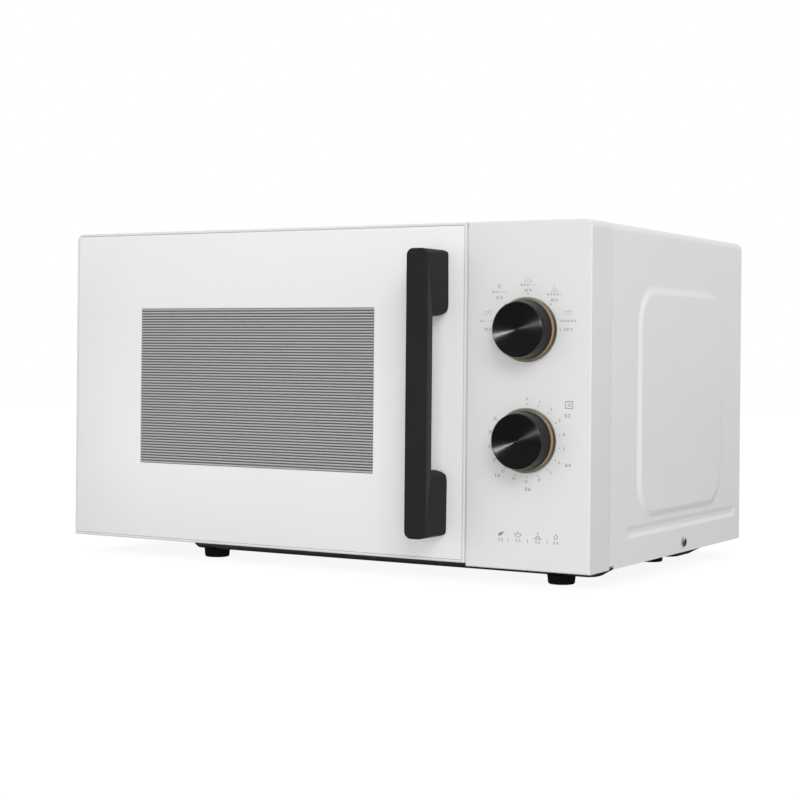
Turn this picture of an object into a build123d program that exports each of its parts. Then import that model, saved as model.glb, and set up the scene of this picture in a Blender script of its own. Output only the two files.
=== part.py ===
from build123d import *
import os

# A worktop microwave oven, in millimetres.
# The floor is Z = 0, the front faces -Y and +X is to the right, seen from the front.
# The origin is the middle of the footprint, from the handle to the rear gland.

# Overall size
WIDTH = 440.0
FRONT_HEIGHT = 236.0
CASE_DEPTH = 295.0
FLOOR_GAP = 14.0
HANDLE_REACH = 34.0
GLAND_REACH = 5.0

# Sheet steel and clearances
SHEET = 0.8
RUNNING = 0.05
LOOSE = 0.5

# Folded casing, with a raised field and a groove pressed in each side
CASE_BEND = 5.5
CASE_SKIRT = 1.0
REAR_FLANGE = 9.0
FIELD_SETBACK = 80.0
FIELD_REAR = 46.0
FIELD_BASE = 30.0
FIELD_DROP = 42.0
FIELD_CORNER = 28.0
FIELD_RISE = 1.8
FIELD_BEVEL = 4.5
FIELD_ROUND = 4.0
GROOVE_SETBACK = 64.0
GROOVE_REAR = 11.0
GROOVE_BASE = 17.5
GROOVE_WIDTH = 9.0
GROOVE_DEPTH = 0.8
GROOVE_BEVEL = 3.2
END_FLAT = 0.4
NOTCH_LENGTH = 9.0
NOTCH_HEIGHT = 2.4

# Base plate, its two foot rails and the feet
BASE_FLANGE = 12.0
RAIL_DROP = 7.5
RAIL_INSET = 77.0
RAIL_MARGIN = 1.0
RAIL_CORNER = 16.0
RAIL_STEP = 2.0
RAIL_RUNOUT = 12.0
RAIL_ROUND = 3.0
FRONT_RAIL_LENGTH = 36.0
REAR_RAIL_INSET = 50.0
REAR_RAIL_LENGTH = 77.0
REAR_RAIL_RUNOUT = 20.0
FOOT_TOP_RADIUS = 10.0
FOOT_FLOOR_RADIUS = 9.4
FOOT_EDGE = 0.8
FOOT_STEM_RADIUS = 3.0
FOOT_STEM_LENGTH = 4.0
FOOT_LEFT_INSET = 105.0
FOOT_RIGHT_INSET = 41.0
FOOT_FRONT_SETBACK = 45.0
FOOT_REAR_INSET = 87.0

# Vents, as rows of short slots
VENT_WIDTH = 3.0
VENT_LENGTH = 20.0
VENT_PITCH = 7.0
VENT_COLUMN = 25.0
FAN_VENT_ROWS = 11
FAN_VENT_COLUMNS = 3
EXHAUST_ROWS = 5
EXHAUST_COLUMNS = 3
EXHAUST_INSET = 90.0
EXHAUST_DROP = 60.0
INTAKE_ROWS = 6
INTAKE_COLUMNS = 2
INTAKE_INSET = 34.0
INTAKE_SETBACK = 131.0
CAVITY_VENT_ROWS = 4
CAVITY_VENT_COLUMNS = 3
CAVITY_VENT_LENGTH = 8.0
CAVITY_VENT_COLUMN = 11.0
CAVITY_VENT_PITCH = 6.0

# Cooking cavity and its front plate
CAVITY_INSET = 15.0
MACHINE_BAY = 111.0
FLOOR_RISE = 23.0
CEILING_DROP = 15.0
CAVITY_GAP = 9.2

# Door
PANEL_WIDTH = 93.2
DOOR_THICKNESS = 31.0
DOOR_LIFT = 1.0
SEAL_GAP = 2.0
PANEL_GAP = 0.8
FRONT_ROUND = 1.0
DOOR_WALL = 2.5
HINGE_STILE = 18.0
GLASS_THICKNESS = 3.2
GLASS_LIP = 2.0
GLASS_SEAM = 0.15
DOOR_WEB = 3.0
WINDOW_LEFT = 64.0
WINDOW_RIGHT = 74.0
WINDOW_BASE = 59.5
WINDOW_DROP = 58.5
WEB_MARGIN = 6.0
SCREEN_MARGIN = 14.0
CHOKE_SETBACK = 20.0
CHOKE_EDGE = 2.0
FINGER_PITCH = 14.0
FINGER_SLOT = 3.0
FINGER_DEPTH = 6.0
COVER_THICKNESS = 2.0
FILM_THICKNESS = 0.6
BOSS_RADIUS = 5.0
BOSS_INSET = 11.0

# Door hinge
HINGE_INSET = 7.0
HINGE_COVER = 10.0
HINGE_SLOT = 6.0
HINGE_PLATE = 2.0
HINGE_EYE_RADIUS = 5.0
HINGE_ROOM = 2.0
HINGE_LEG_LENGTH = 25.0
HINGE_LEG_DROP = 18.0
HINGE_LEG = 1.2
HINGE_PIN_RADIUS = 2.5
HINGE_PIN_LENGTH = 11.0

# Handle
HANDLE_INSET = 13.0
HANDLE_WIDTH = 16.0
HANDLE_END = 19.0
HANDLE_BAR = 9.0
HANDLE_POST = 46.0
HANDLE_END_ROUND = 5.0
HANDLE_GRIP_ROUND = 7.5
HANDLE_FRONT_ROUND = 1.5
POST_ROUND = 4.0
POST_GRIP_ROUND = 10.0
HANDLE_SCREW_DEPTH = 12.0
CREASE_DROP = 12.0
CREASE_DEPTH = 1.2

# Door latch and interlock
LATCH_INSET = 8.0
LATCH_THICKNESS = 3.0
LATCH_SETBACK = 17.0
LATCH_LENGTH = 150.0
LATCH_TRAVEL = 4.0
HOOK_SPACING = 116.0
HOOK_NECK = 6.0
HOOK_LIP = 3.0
HOOK_REACH = 12.0
HOOK_RAMP = 5.0
GUIDE_HEIGHT = 10.0
GUIDE_WALL = 2.5
GUIDE_SPACING = 60.0
SPRING_LENGTH = 16.0
SPRING_STRIP = 0.5
SPRING_FOLDS = 6
BOARD_DEPTH = 26.0
BOARD_WALL = 4.0
SWITCH_LENGTH = 27.0
SWITCH_HEIGHT = 16.0
SWITCH_THICKNESS = 10.0
SWITCH_BUTTON = 3.0

# Control panel and its two dials
PANEL_WALL = 2.5
PANEL_RIB = 1.5
PANEL_RIB_DEPTH = 10.0
PANEL_RIB_GAP = 14.0
PANEL_BOSS_RADIUS = 4.0
PANEL_BOSS_INSET = 9.0
DIAL_INSET = 47.0
UPPER_DIAL_HEIGHT = 162.0
LOWER_DIAL_HEIGHT = 87.0
KNOB_GAP = 0.5
RING_RADIUS = 22.0
RING_THICKNESS = 3.5
RING_EDGE = 1.0
KNOB_BASE_RADIUS = 20.0
KNOB_FACE_RADIUS = 18.8
KNOB_SPIGOT_RADIUS = 17.0
KNOB_RISE = 12.7
KNOB_WALL = 3.0
CAP_EDGE = 0.7
CAP_RADIUS = 16.0
CAP_DEPTH = 2.2
CAP_DISH = 1.0
SHAFT_RADIUS = 3.0
SHAFT_FLAT = 1.8
SHAFT_SEAT = 10.0
SHAFT_GRIP = 9.0
TIMER_WIDTH = 58.0
TIMER_DEPTH = 24.0
TIMER_MARGIN = 24.0
TIMER_MOTOR_RADIUS = 21.0
TIMER_MOTOR_DEPTH = 12.0
TIMER_BLADES = 5

# Turntable, roller ring and their drive
TABLE_CLEARANCE = 3.5
TABLE_RIM_WIDTH = 14.5
TABLE_THICKNESS = 5.0
TABLE_RIM_RISE = 6.0
TRACK_RIB = 2.0
TRACK_RIB_WIDTH = 3.0
TRACK_RIB_INSET = 4.0
TRACK_CLEARANCE = 2.0
NUB_RADIUS = 3.0
NUB_CIRCLE = 15.0
NUB_DEPTH = 4.0
WHEEL_RADIUS = 7.2
WHEEL_WIDTH = 6.0
WHEEL_GAP = 0.3
RING_SECTION = 6.0
AXLE_RADIUS = 1.5
AXLE_STOP = 3.0
AXLE_STOP_RADIUS = 3.0
WHEEL_COUNT = 3
COUPLER_HUB_RADIUS = 8.0
COUPLER_LOBE_LENGTH = 21.0
COUPLER_LOBE_WIDTH = 9.0
COUPLER_LIFT = 2.0
DRIVE_RADIUS = 3.0
DRIVE_SEAT = 9.0
MOTOR_RADIUS = 24.0
MOTOR_HEIGHT = 14.0

# Waveguide, magnetron and lamp, on the right wall of the cavity
WAVEGUIDE_SETBACK = 76.0
WAVEGUIDE_LENGTH = 84.0
WAVEGUIDE_BASE = 96.0
WAVEGUIDE_HEIGHT = 92.0
WAVEGUIDE_DEPTH = 28.0
MICA_MARGIN = 6.0
MICA_THICKNESS = 0.6
MICA_HEIGHT = 60.0
YOKE_LENGTH = 76.0
YOKE_HEIGHT = 70.0
YOKE_REACH = 44.0
YOKE_WALL = 3.0
ANODE_RADIUS = 18.0
ANTENNA_RADIUS = 8.0
ANTENNA_LENGTH = 18.0
FILTER_BOX = 16.0
FILTER_SIZE = 40.0
PLUG_SIZE = 14.0
PLUG_REACH = 8.0
BLADE_WIDTH = 6.3
BLADE_SPACING = 7.0
FIN_COUNT = 6
FIN_THICKNESS = 1.0
LAMP_SETBACK = 36.0
LAMP_BASE = 150.0
LAMP_LENGTH = 30.0
LAMP_HEIGHT = 36.0
LAMP_DEPTH = 24.0
LAMP_WALL = 2.0
BULB_RADIUS = 8.0
BULB_LENGTH = 28.0
BULB_NECK_RADIUS = 4.5
BULB_NECK = 9.0
BULB_TAPER = 6.0

# Transformer, capacitor, diode, filter board and thermal cut-out
TRANSFORMER_REAR = 43.0
TRANSFORMER_WIDTH = 80.0
TRANSFORMER_LENGTH = 62.0
TRANSFORMER_HEIGHT = 70.0
CORE_LIMB = 14.0
COIL_BULGE = 12.0
COIL_GAP = 3.0
TRANSFORMER_TAB = 10.0
TRANSFORMER_PLATE = 2.0
BAY_MARGIN = 8.0
CAPACITOR_GAP = 14.0
CAPACITOR_LENGTH = 54.0
CAPACITOR_THICKNESS = 34.0
CAPACITOR_HEIGHT = 80.0
CRIMP_HEIGHT = 3.0
CRIMP_LIP = 0.8
CLAMP_HEIGHT = 22.0
CLAMP_TAB = 12.0
TERMINAL_HEIGHT = 10.0
TERMINAL_WIDTH = 5.0
TERMINAL_SPACING = 18.0
DIODE_SETBACK = 90.0
DIODE_RADIUS = 5.0
DIODE_LENGTH = 26.0
BOARD_LENGTH = 62.0
BOARD_WIDTH = 48.0
BOARD_THICKNESS = 1.6
BOARD_INSET = 20.0
BOARD_SETBACK = 120.0
CHOKE_COIL_RADIUS = 7.0
CHOKE_COIL_HEIGHT = 8.0
CUTOUT_RADIUS = 8.0
CUTOUT_HEIGHT = 7.0
CUTOUT_INSET = 120.0

# Cooling fan on the rear panel
FAN_RADIUS = 38.0
FAN_GAP = 3.0
FAN_BASE = 150.0
FAN_PLATE = 1.5
FAN_DUCT = 28.0
FAN_MARGIN = 4.0
FAN_HUB_RADIUS = 8.0
FAN_HUB_LENGTH = 14.0
FAN_SHAFT_RADIUS = 2.0
FAN_BLADES = 5
FAN_BLADE_CHORD = 24.0
FAN_BLADE_THICKNESS = 1.2
FAN_BLADE_CAMBER = 30.0
FAN_BLADE_PITCH = 32.0
FAN_STRAP = 14.0
FAN_MOTOR_SIZE = 40.0
FAN_MOTOR_DEPTH = 22.0
FAN_SHAFT_SEAT = 8.0

# Fasteners and the rear cable gland
SCREW_HEAD_RADIUS = 3.5
SCREW_HEAD = 1.8
SCREW_RADIUS = 1.8
SCREW_LENGTH = 7.0
SIDE_SCREW_SETBACK = 171.0
SIDE_SCREW_HEIGHT = 6.5
REAR_SCREW_INSET = 60.0
REAR_SCREW_DROP = 70.0
GLAND_RADIUS = 9.0
GLAND_BORE_RADIUS = 4.0
GLAND_NECK_RADIUS = 6.5
GLAND_INSET = 40.0
GLAND_HEIGHT = 45.0

# Places worked out from the sizes above
HALF = WIDTH / 2
REAR_REACH = max(GLAND_REACH - SHEET, SCREW_HEAD)
FRONT = HANDLE_REACH - (HANDLE_REACH + CASE_DEPTH + REAR_REACH) / 2
REAR = FRONT + CASE_DEPTH
BOTTOM = FLOOR_GAP
TOP = BOTTOM + FRONT_HEIGHT
MIDDLE = (BOTTOM + TOP) / 2

DOOR_RIGHT = HALF - PANEL_WIDTH - PANEL_GAP
DOOR_BOTTOM = BOTTOM + DOOR_LIFT
DOOR_BACK = FRONT + DOOR_THICKNESS
PANEL_LEFT = DOOR_RIGHT + PANEL_GAP
CASE_FRONT = DOOR_BACK + SEAL_GAP
PLATE_BACK = CASE_FRONT + SHEET
REAR_FACE = REAR - 2 * SHEET
BASE_TOP = BOTTOM + SHEET
RAIL_BOTTOM = BOTTOM - RAIL_DROP

CAVITY_LEFT = CAVITY_INSET - HALF
CAVITY_RIGHT = HALF - MACHINE_BAY
CAVITY_FLOOR = BOTTOM + FLOOR_RISE
CAVITY_CEILING = TOP - CEILING_DROP
CAVITY_REAR = REAR - CAVITY_GAP
BAY_LEFT = CAVITY_RIGHT + SHEET
BAY_RIGHT = HALF - SHEET
BAY_MIDDLE = (BAY_LEFT + BAY_RIGHT) / 2

GLASS_BACK = FRONT + GLASS_THICKNESS
WEB_BACK = GLASS_BACK + DOOR_WEB
CHOKE_FRONT = FRONT + CHOKE_SETBACK
COVER_FRONT = DOOR_BACK - COVER_THICKNESS
WINDOW_X = (WINDOW_LEFT - HALF, DOOR_RIGHT - WINDOW_RIGHT)
WINDOW_Z = (BOTTOM + WINDOW_BASE, TOP - WINDOW_DROP)

HINGE_X = HINGE_INSET - HALF
HINGE_Y = DOOR_BACK - HINGE_INSET
HANDLE_X = (DOOR_RIGHT - HANDLE_INSET - HANDLE_WIDTH, DOOR_RIGHT - HANDLE_INSET)
HANDLE_Z = (BOTTOM + HANDLE_END, TOP - HANDLE_END)

LATCH_X = DOOR_RIGHT - LATCH_INSET
LATCH_FRONT = FRONT + LATCH_SETBACK
LATCH_BACK = COVER_FRONT - LOOSE
LATCH_TOP = MIDDLE + LATCH_LENGTH / 2
HOOK_TIP = PLATE_BACK + HOOK_REACH
HOOK_HEIGHTS = (MIDDLE - HOOK_SPACING / 2, MIDDLE + HOOK_SPACING / 2)
HOOK_HALF = HOOK_NECK / 2
LATCH_HALF = LATCH_THICKNESS / 2

DIAL_X = HALF - DIAL_INSET
DIAL_HEIGHTS = {"power": BOTTOM + UPPER_DIAL_HEIGHT, "timer": BOTTOM + LOWER_DIAL_HEIGHT}
PANEL_INSIDE = FRONT + PANEL_WALL
TIMER_BACK = PANEL_INSIDE + TIMER_DEPTH
RING_BACK = FRONT - KNOB_GAP
KNOB_FACE = RING_THICKNESS + KNOB_RISE

TABLE_X = (CAVITY_LEFT + CAVITY_RIGHT) / 2
TABLE_Y = (PLATE_BACK + CAVITY_REAR) / 2
WHEEL_Z = CAVITY_FLOOR + WHEEL_GAP + WHEEL_RADIUS
TABLE_Z = WHEEL_Z + WHEEL_RADIUS + WHEEL_GAP
TABLE_RADIUS = min(CAVITY_RIGHT - CAVITY_LEFT, CAVITY_REAR - PLATE_BACK) / 2 - TABLE_CLEARANCE
TABLE_FLAT_RADIUS = TABLE_RADIUS - TABLE_RIM_WIDTH
TRACK_RIB_OUTER = TABLE_FLAT_RADIUS - TRACK_RIB_INSET
TRACK_RADIUS = TRACK_RIB_OUTER - TRACK_RIB_WIDTH
AXLE_END = TRACK_RADIUS - TRACK_CLEARANCE
WHEEL_OUTER = AXLE_END - AXLE_STOP - LOOSE
WHEEL_INNER = WHEEL_OUTER - WHEEL_WIDTH
RING_MIDDLE_RADIUS = WHEEL_INNER - LOOSE - RING_SECTION / 2
MOTOR_TOP = CAVITY_FLOOR - SHEET

WAVEGUIDE_Y = (PLATE_BACK + WAVEGUIDE_SETBACK, PLATE_BACK + WAVEGUIDE_SETBACK + WAVEGUIDE_LENGTH)
WAVEGUIDE_Z = (BOTTOM + WAVEGUIDE_BASE, BOTTOM + WAVEGUIDE_BASE + WAVEGUIDE_HEIGHT)
WAVEGUIDE_RIGHT = BAY_LEFT + WAVEGUIDE_DEPTH
YOKE_Y = sum(WAVEGUIDE_Y) / 2
YOKE_Z = WAVEGUIDE_Z[1] - YOKE_HEIGHT / 2
LAMP_Y = (PLATE_BACK + LAMP_SETBACK, PLATE_BACK + LAMP_SETBACK + LAMP_LENGTH)
LAMP_Z = (BOTTOM + LAMP_BASE, BOTTOM + LAMP_BASE + LAMP_HEIGHT)

FAN_X = BAY_MIDDLE
FAN_Z = BOTTOM + FAN_BASE
DUCT_RADIUS = FAN_RADIUS + FAN_GAP
FAN_DUCT_FRONT = REAR_FACE - FAN_PLATE - FAN_DUCT
FAN_STRAP_FRONT = FAN_DUCT_FRONT - FAN_PLATE
GLAND_X = HALF - GLAND_INSET
GLAND_Z = BOTTOM + GLAND_HEIGHT


def block(x, y, z):
    """Box between a low and a high value on each axis."""
    middle = [(low + high) / 2 for low, high in (x, y, z)]
    size = [high - low for low, high in (x, y, z)]
    return Pos(*middle) * Box(*size)


def about(middle, length):
    """Low and high value of a length centred on a place."""
    return (middle - length / 2, middle + length / 2)


def grown(span, margin):
    """Low and high value moved apart by a margin."""
    return (span[0] - margin, span[1] + margin)


def area(u, v, radius=0.0):
    """Flat rectangle between low and high values, with rounded corners where a radius is given."""
    size = (u[1] - u[0], v[1] - v[0])
    shape = RectangleRounded(*size, radius) if radius else Rectangle(*size)
    return Pos(sum(u) / 2, sum(v) / 2) * shape


def disc(u, v, radius):
    """Flat circle about a place."""
    return Pos(u, v) * Circle(radius)


def outline(points):
    """Flat face inside straight lines through a list of points."""
    return make_face(Polyline(*points, close=True))


def along_x(shape, low, high):
    """Solid from a face drawn in Y and Z."""
    plane = Plane(origin=(low, 0, 0), x_dir=(0, 1, 0), z_dir=(1, 0, 0))
    return extrude(plane * shape, amount=high - low)


def along_y(shape, low, high):
    """Solid from a face drawn in X and Z."""
    plane = Plane(origin=(0, high, 0), x_dir=(1, 0, 0), z_dir=(0, -1, 0))
    return extrude(plane * shape, amount=high - low)


def along_z(shape, low, high):
    """Solid from a face drawn in X and Y."""
    return extrude(Plane.XY.offset(low) * shape, amount=high - low)


def turned(profile):
    """Solid of revolution about Z from a profile drawn as radius and height."""
    return revolve(Plane.XZ * profile, axis=Axis.Z)


def slots(u, v, columns, rows, column_pitch, row_pitch, length, width):
    """Flat pattern of slots about a place."""
    return [
        area(about(place.position.X, length), about(place.position.Y, width))
        for place in Pos(u, v) * GridLocations(column_pitch, row_pitch, columns, rows)
    ]


def cabinet_section(inset):
    """Front view of the casing, rounded at the top corners, inset from its outside."""
    shape = area(about(0, WIDTH - 2 * inset), (BOTTOM - CASE_SKIRT, TOP - inset))
    corners = shape.vertices().group_by(Axis.Y)[-1]
    return fillet(corners, CASE_BEND - inset)


def sheet_section():
    """Front view of an upright sheet that closes the casing, down to the base plate."""
    return cabinet_section(SHEET) & area((-HALF, HALF), (BOTTOM, TOP))


def side_pressing(side, y, z, radius, rise, bevel):
    """Tapered body of a pressing on one side, from the flat side out or, with a negative rise, in."""
    def section(x, inset):
        plane = Plane(origin=(x, 0, 0), x_dir=(0, 1, 0), z_dir=(1, 0, 0))
        return plane * area(grown(y, -inset), grown(z, -inset), radius - inset)

    return loft([section(side * HALF, 0.0), section(side * (HALF + rise), bevel)])


def cabinet_wrap():
    shell = along_y(cabinet_section(0) - cabinet_section(SHEET), CASE_FRONT, REAR)
    opening = area(about(0, WIDTH - 2 * REAR_FLANGE), (BOTTOM - CASE_SKIRT, TOP - REAR_FLANGE))
    shell += along_y(cabinet_section(0) - opening, REAR - SHEET, REAR)
    field_y = (FRONT + FIELD_SETBACK, REAR - FIELD_REAR)
    field_z = (BOTTOM + FIELD_BASE, TOP - FIELD_DROP)
    groove_y = (FRONT + GROOVE_SETBACK, REAR - GROOVE_REAR)
    groove_z = (BOTTOM + GROOVE_BASE, BOTTOM + GROOVE_BASE + GROOVE_WIDTH)
    groove_round = (GROOVE_WIDTH - END_FLAT) / 2
    notch_z = (BOTTOM - CASE_SKIRT, BOTTOM - CASE_SKIRT + NOTCH_HEIGHT)
    for side in (-1, 1):
        inward = Pos(-side * SHEET, 0, 0)
        field = side_pressing(side, field_y, field_z, FIELD_CORNER, FIELD_RISE, FIELD_BEVEL)
        crest = field.faces().sort_by(Axis.X, reverse=side > 0)[0]
        field = field.fillet(FIELD_ROUND, crest.edges())
        shell += field
        flat = shell.faces().filter_by_position(Axis.X, *about(side * HALF, LOOSE)).sort_by(SortBy.AREA)[-1]
        shell = shell.fillet(FIELD_ROUND, flat.inner_wires()[0].edges()) - inward * field
        groove = side_pressing(side, groove_y, groove_z, groove_round, -GROOVE_DEPTH, GROOVE_BEVEL)
        shell = shell + inward * groove - groove
    shell -= block((-HALF, HALF), (CASE_FRONT, CASE_FRONT + NOTCH_LENGTH), notch_z)
    return shell - screw_holes()


def rear_panel():
    size = (VENT_COLUMN, VENT_PITCH, VENT_LENGTH, VENT_WIDTH)
    vents = slots(FAN_X, FAN_Z, FAN_VENT_COLUMNS, FAN_VENT_ROWS, *size)
    vents += slots(EXHAUST_INSET - HALF, TOP - EXHAUST_DROP, EXHAUST_COLUMNS, EXHAUST_ROWS, *size)
    face = sheet_section() - vents - disc(GLAND_X, GLAND_Z, GLAND_NECK_RADIUS)
    return along_y(face, REAR_FACE, REAR - SHEET) - screw_holes()


def rail_pan(y, runouts, inset):
    """Body of a foot rail pressed down from the base plate, or with an inset, of the hollow in it."""
    x = (RAIL_INSET - HALF, HALF - SHEET - RAIL_MARGIN)
    low_y = (y[0] + runouts[0], y[1] - runouts[1])
    top = area(grown(x, -inset), grown(y, -inset), RAIL_CORNER - inset)
    low = area(grown(x, -RAIL_RUNOUT - inset), grown(low_y, -inset), RAIL_CORNER / 2 - inset)
    body = loft([Plane.XY.offset(RAIL_BOTTOM) * low, Plane.XY.offset(BOTTOM) * top])
    floor = body.faces().sort_by(Axis.Z)[0]
    return Pos(0, 0, inset) * body.fillet(RAIL_ROUND - inset, floor.edges())


def foot_places():
    """Centre of each foot, seen from above."""
    return [
        (x, y)
        for y in (FRONT + FOOT_FRONT_SETBACK, REAR - FOOT_REAR_INSET)
        for x in (FOOT_LEFT_INSET - HALF, HALF - FOOT_RIGHT_INSET)
    ]


def base_plate():
    inside = HALF - SHEET
    depth = (PLATE_BACK, REAR_FACE)
    plate = block((-inside, inside), depth, (BOTTOM, BASE_TOP))
    for side in (-1, 1):
        edge = sorted((side * inside, side * (inside - SHEET)))
        plate += block(edge, depth, (BOTTOM, BOTTOM + BASE_FLANGE))
    front = (PLATE_BACK + RAIL_MARGIN, PLATE_BACK + RAIL_MARGIN + FRONT_RAIL_LENGTH)
    rear = (REAR - REAR_RAIL_INSET - REAR_RAIL_LENGTH, REAR - REAR_RAIL_INSET)
    rails = {front: (RAIL_STEP, RAIL_RUNOUT), rear: (REAR_RAIL_RUNOUT, REAR_RAIL_RUNOUT)}
    for y, runouts in rails.items():
        plate += rail_pan(y, runouts, 0.0)
        plate -= rail_pan(y, runouts, SHEET)
    for x, y in foot_places():
        plate -= along_z(disc(x, y, FOOT_STEM_RADIUS + RUNNING), RAIL_BOTTOM, BASE_TOP)
    intake = slots(
        HALF - INTAKE_INSET, FRONT + INTAKE_SETBACK,
        INTAKE_COLUMNS, INTAKE_ROWS, VENT_COLUMN, VENT_PITCH, VENT_LENGTH, VENT_WIDTH,
    )
    plate -= [along_z(slot, BOTTOM, BASE_TOP) for slot in intake]
    return plate - screw_holes()


def feet():
    """Four tapered feet, each with a stem pressed up through its rail."""
    body = turned(outline([
        (0, 0), (FOOT_FLOOR_RADIUS - FOOT_EDGE, 0), (FOOT_FLOOR_RADIUS, FOOT_EDGE),
        (FOOT_TOP_RADIUS, RAIL_BOTTOM), (FOOT_STEM_RADIUS, RAIL_BOTTOM),
        (FOOT_STEM_RADIUS, RAIL_BOTTOM + FOOT_STEM_LENGTH), (0, RAIL_BOTTOM + FOOT_STEM_LENGTH),
    ]))
    return [Pos(x, y, 0) * body for x, y in foot_places()]


def screw(place, direction):
    """Pan-head screw that seats at a place and runs along a direction."""
    head = Cylinder(SCREW_HEAD_RADIUS, SCREW_HEAD, align=(Align.CENTER, Align.CENTER, Align.MAX))
    shank = Cylinder(SCREW_RADIUS, SCREW_LENGTH, align=(Align.CENTER, Align.CENTER, Align.MIN))
    return Plane(origin=place, z_dir=direction) * (head + shank)


def case_screw_seats():
    """Seat and direction of each screw that holds the casing."""
    side_y = FRONT + SIDE_SCREW_SETBACK
    side_z = BOTTOM + SIDE_SCREW_HEIGHT
    rear_x = HALF - REAR_FLANGE / 2
    seats = [((side * HALF, side_y, side_z), (-side, 0, 0)) for side in (-1, 1)]
    seats += [((side * rear_x, REAR, TOP - REAR_SCREW_DROP), (0, -1, 0)) for side in (-1, 1)]
    top_z = TOP - REAR_FLANGE / 2
    seats += [((side * (HALF - REAR_SCREW_INSET), REAR, top_z), (0, -1, 0)) for side in (-1, 1)]
    return seats


def screw_holes():
    """Clearance holes for the casing screws through the sheets they join."""
    hole = Cylinder(SCREW_RADIUS + RUNNING, 2 * SCREW_LENGTH)
    return [Plane(origin=place, z_dir=direction) * hole for place, direction in case_screw_seats()]


def case_screws():
    return [screw(place, direction) for place, direction in case_screw_seats()]


def cord_gland():
    """Flanged bush in the rear panel that the supply cable would leave through."""
    outside = REAR - SHEET
    flange = along_y(disc(GLAND_X, GLAND_Z, GLAND_RADIUS), outside, outside + GLAND_REACH)
    neck = along_y(disc(GLAND_X, GLAND_Z, GLAND_NECK_RADIUS - RUNNING), REAR_FACE - GLAND_REACH, outside)
    bore = along_y(disc(GLAND_X, GLAND_Z, GLAND_BORE_RADIUS), REAR_FACE - GLAND_REACH, outside + GLAND_REACH)
    return flange + neck - bore


def front_plate():
    face = sheet_section() - area((CAVITY_LEFT, CAVITY_RIGHT), (CAVITY_FLOOR, CAVITY_CEILING))
    face -= area(about(DIAL_X, TIMER_WIDTH + 2 * LOOSE), grown(timer_span(), LOOSE))
    for height in HOOK_HEIGHTS:
        face -= area(
            about(LATCH_X, LATCH_THICKNESS + 2 * LOOSE),
            (height - HOOK_HALF - LOOSE, height + HOOK_HALF + LATCH_TRAVEL + LOOSE),
        )
    return along_y(face, CASE_FRONT, PLATE_BACK)


def cavity_vents(y, z):
    """Rows of short slots through a side wall of the cavity."""
    return slots(
        y, z, CAVITY_VENT_COLUMNS, CAVITY_VENT_ROWS,
        CAVITY_VENT_COLUMN, CAVITY_VENT_PITCH, CAVITY_VENT_LENGTH, VENT_WIDTH,
    )


def cavity_floor():
    plate = block(
        (CAVITY_LEFT - SHEET, BAY_LEFT), (PLATE_BACK, CAVITY_REAR), (CAVITY_FLOOR - SHEET, CAVITY_FLOOR),
    )
    return plate - along_z(disc(TABLE_X, TABLE_Y, COUPLER_HUB_RADIUS), CAVITY_FLOOR - SHEET, CAVITY_FLOOR)


def cavity_top():
    return block(
        (CAVITY_LEFT - SHEET, BAY_LEFT), (PLATE_BACK, CAVITY_REAR), (CAVITY_CEILING, CAVITY_CEILING + SHEET),
    )


def cavity_left_wall():
    face = area((PLATE_BACK, CAVITY_REAR), (CAVITY_FLOOR, CAVITY_CEILING))
    face -= cavity_vents(CAVITY_REAR - LAMP_SETBACK, sum(LAMP_Z) / 2)
    return along_x(face, CAVITY_LEFT - SHEET, CAVITY_LEFT)


def cavity_right_wall():
    face = area((PLATE_BACK, CAVITY_REAR), (CAVITY_FLOOR, CAVITY_CEILING))
    face -= area(grown(WAVEGUIDE_Y, -MICA_MARGIN), mica_span(-MICA_MARGIN))
    face -= cavity_vents(sum(LAMP_Y) / 2, sum(LAMP_Z) / 2)
    return along_x(face, CAVITY_RIGHT, BAY_LEFT)


def cavity_rear_wall():
    return block(
        (CAVITY_LEFT - SHEET, BAY_LEFT), (CAVITY_REAR, CAVITY_REAR + SHEET),
        (BASE_TOP, CAVITY_CEILING + SHEET),
    )


def mica_span(margin):
    """Low and high edge of the mica sheet over the lower end of the waveguide."""
    return grown((WAVEGUIDE_Z[0], WAVEGUIDE_Z[0] + MICA_HEIGHT), margin)


def waveguide():
    """Pressed channel on the outside of the cavity wall, with a hole for the antenna."""
    channel = block((BAY_LEFT, WAVEGUIDE_RIGHT), WAVEGUIDE_Y, WAVEGUIDE_Z)
    channel -= block(
        (BAY_LEFT, WAVEGUIDE_RIGHT - SHEET), grown(WAVEGUIDE_Y, -SHEET), grown(WAVEGUIDE_Z, -SHEET),
    )
    hole = disc(YOKE_Y, YOKE_Z, ANTENNA_RADIUS + LOOSE)
    return channel - along_x(hole, WAVEGUIDE_RIGHT - SHEET, WAVEGUIDE_RIGHT)


def waveguide_cover():
    face = area(WAVEGUIDE_Y, mica_span(0.0))
    return along_x(face, CAVITY_RIGHT - MICA_THICKNESS, CAVITY_RIGHT)


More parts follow.
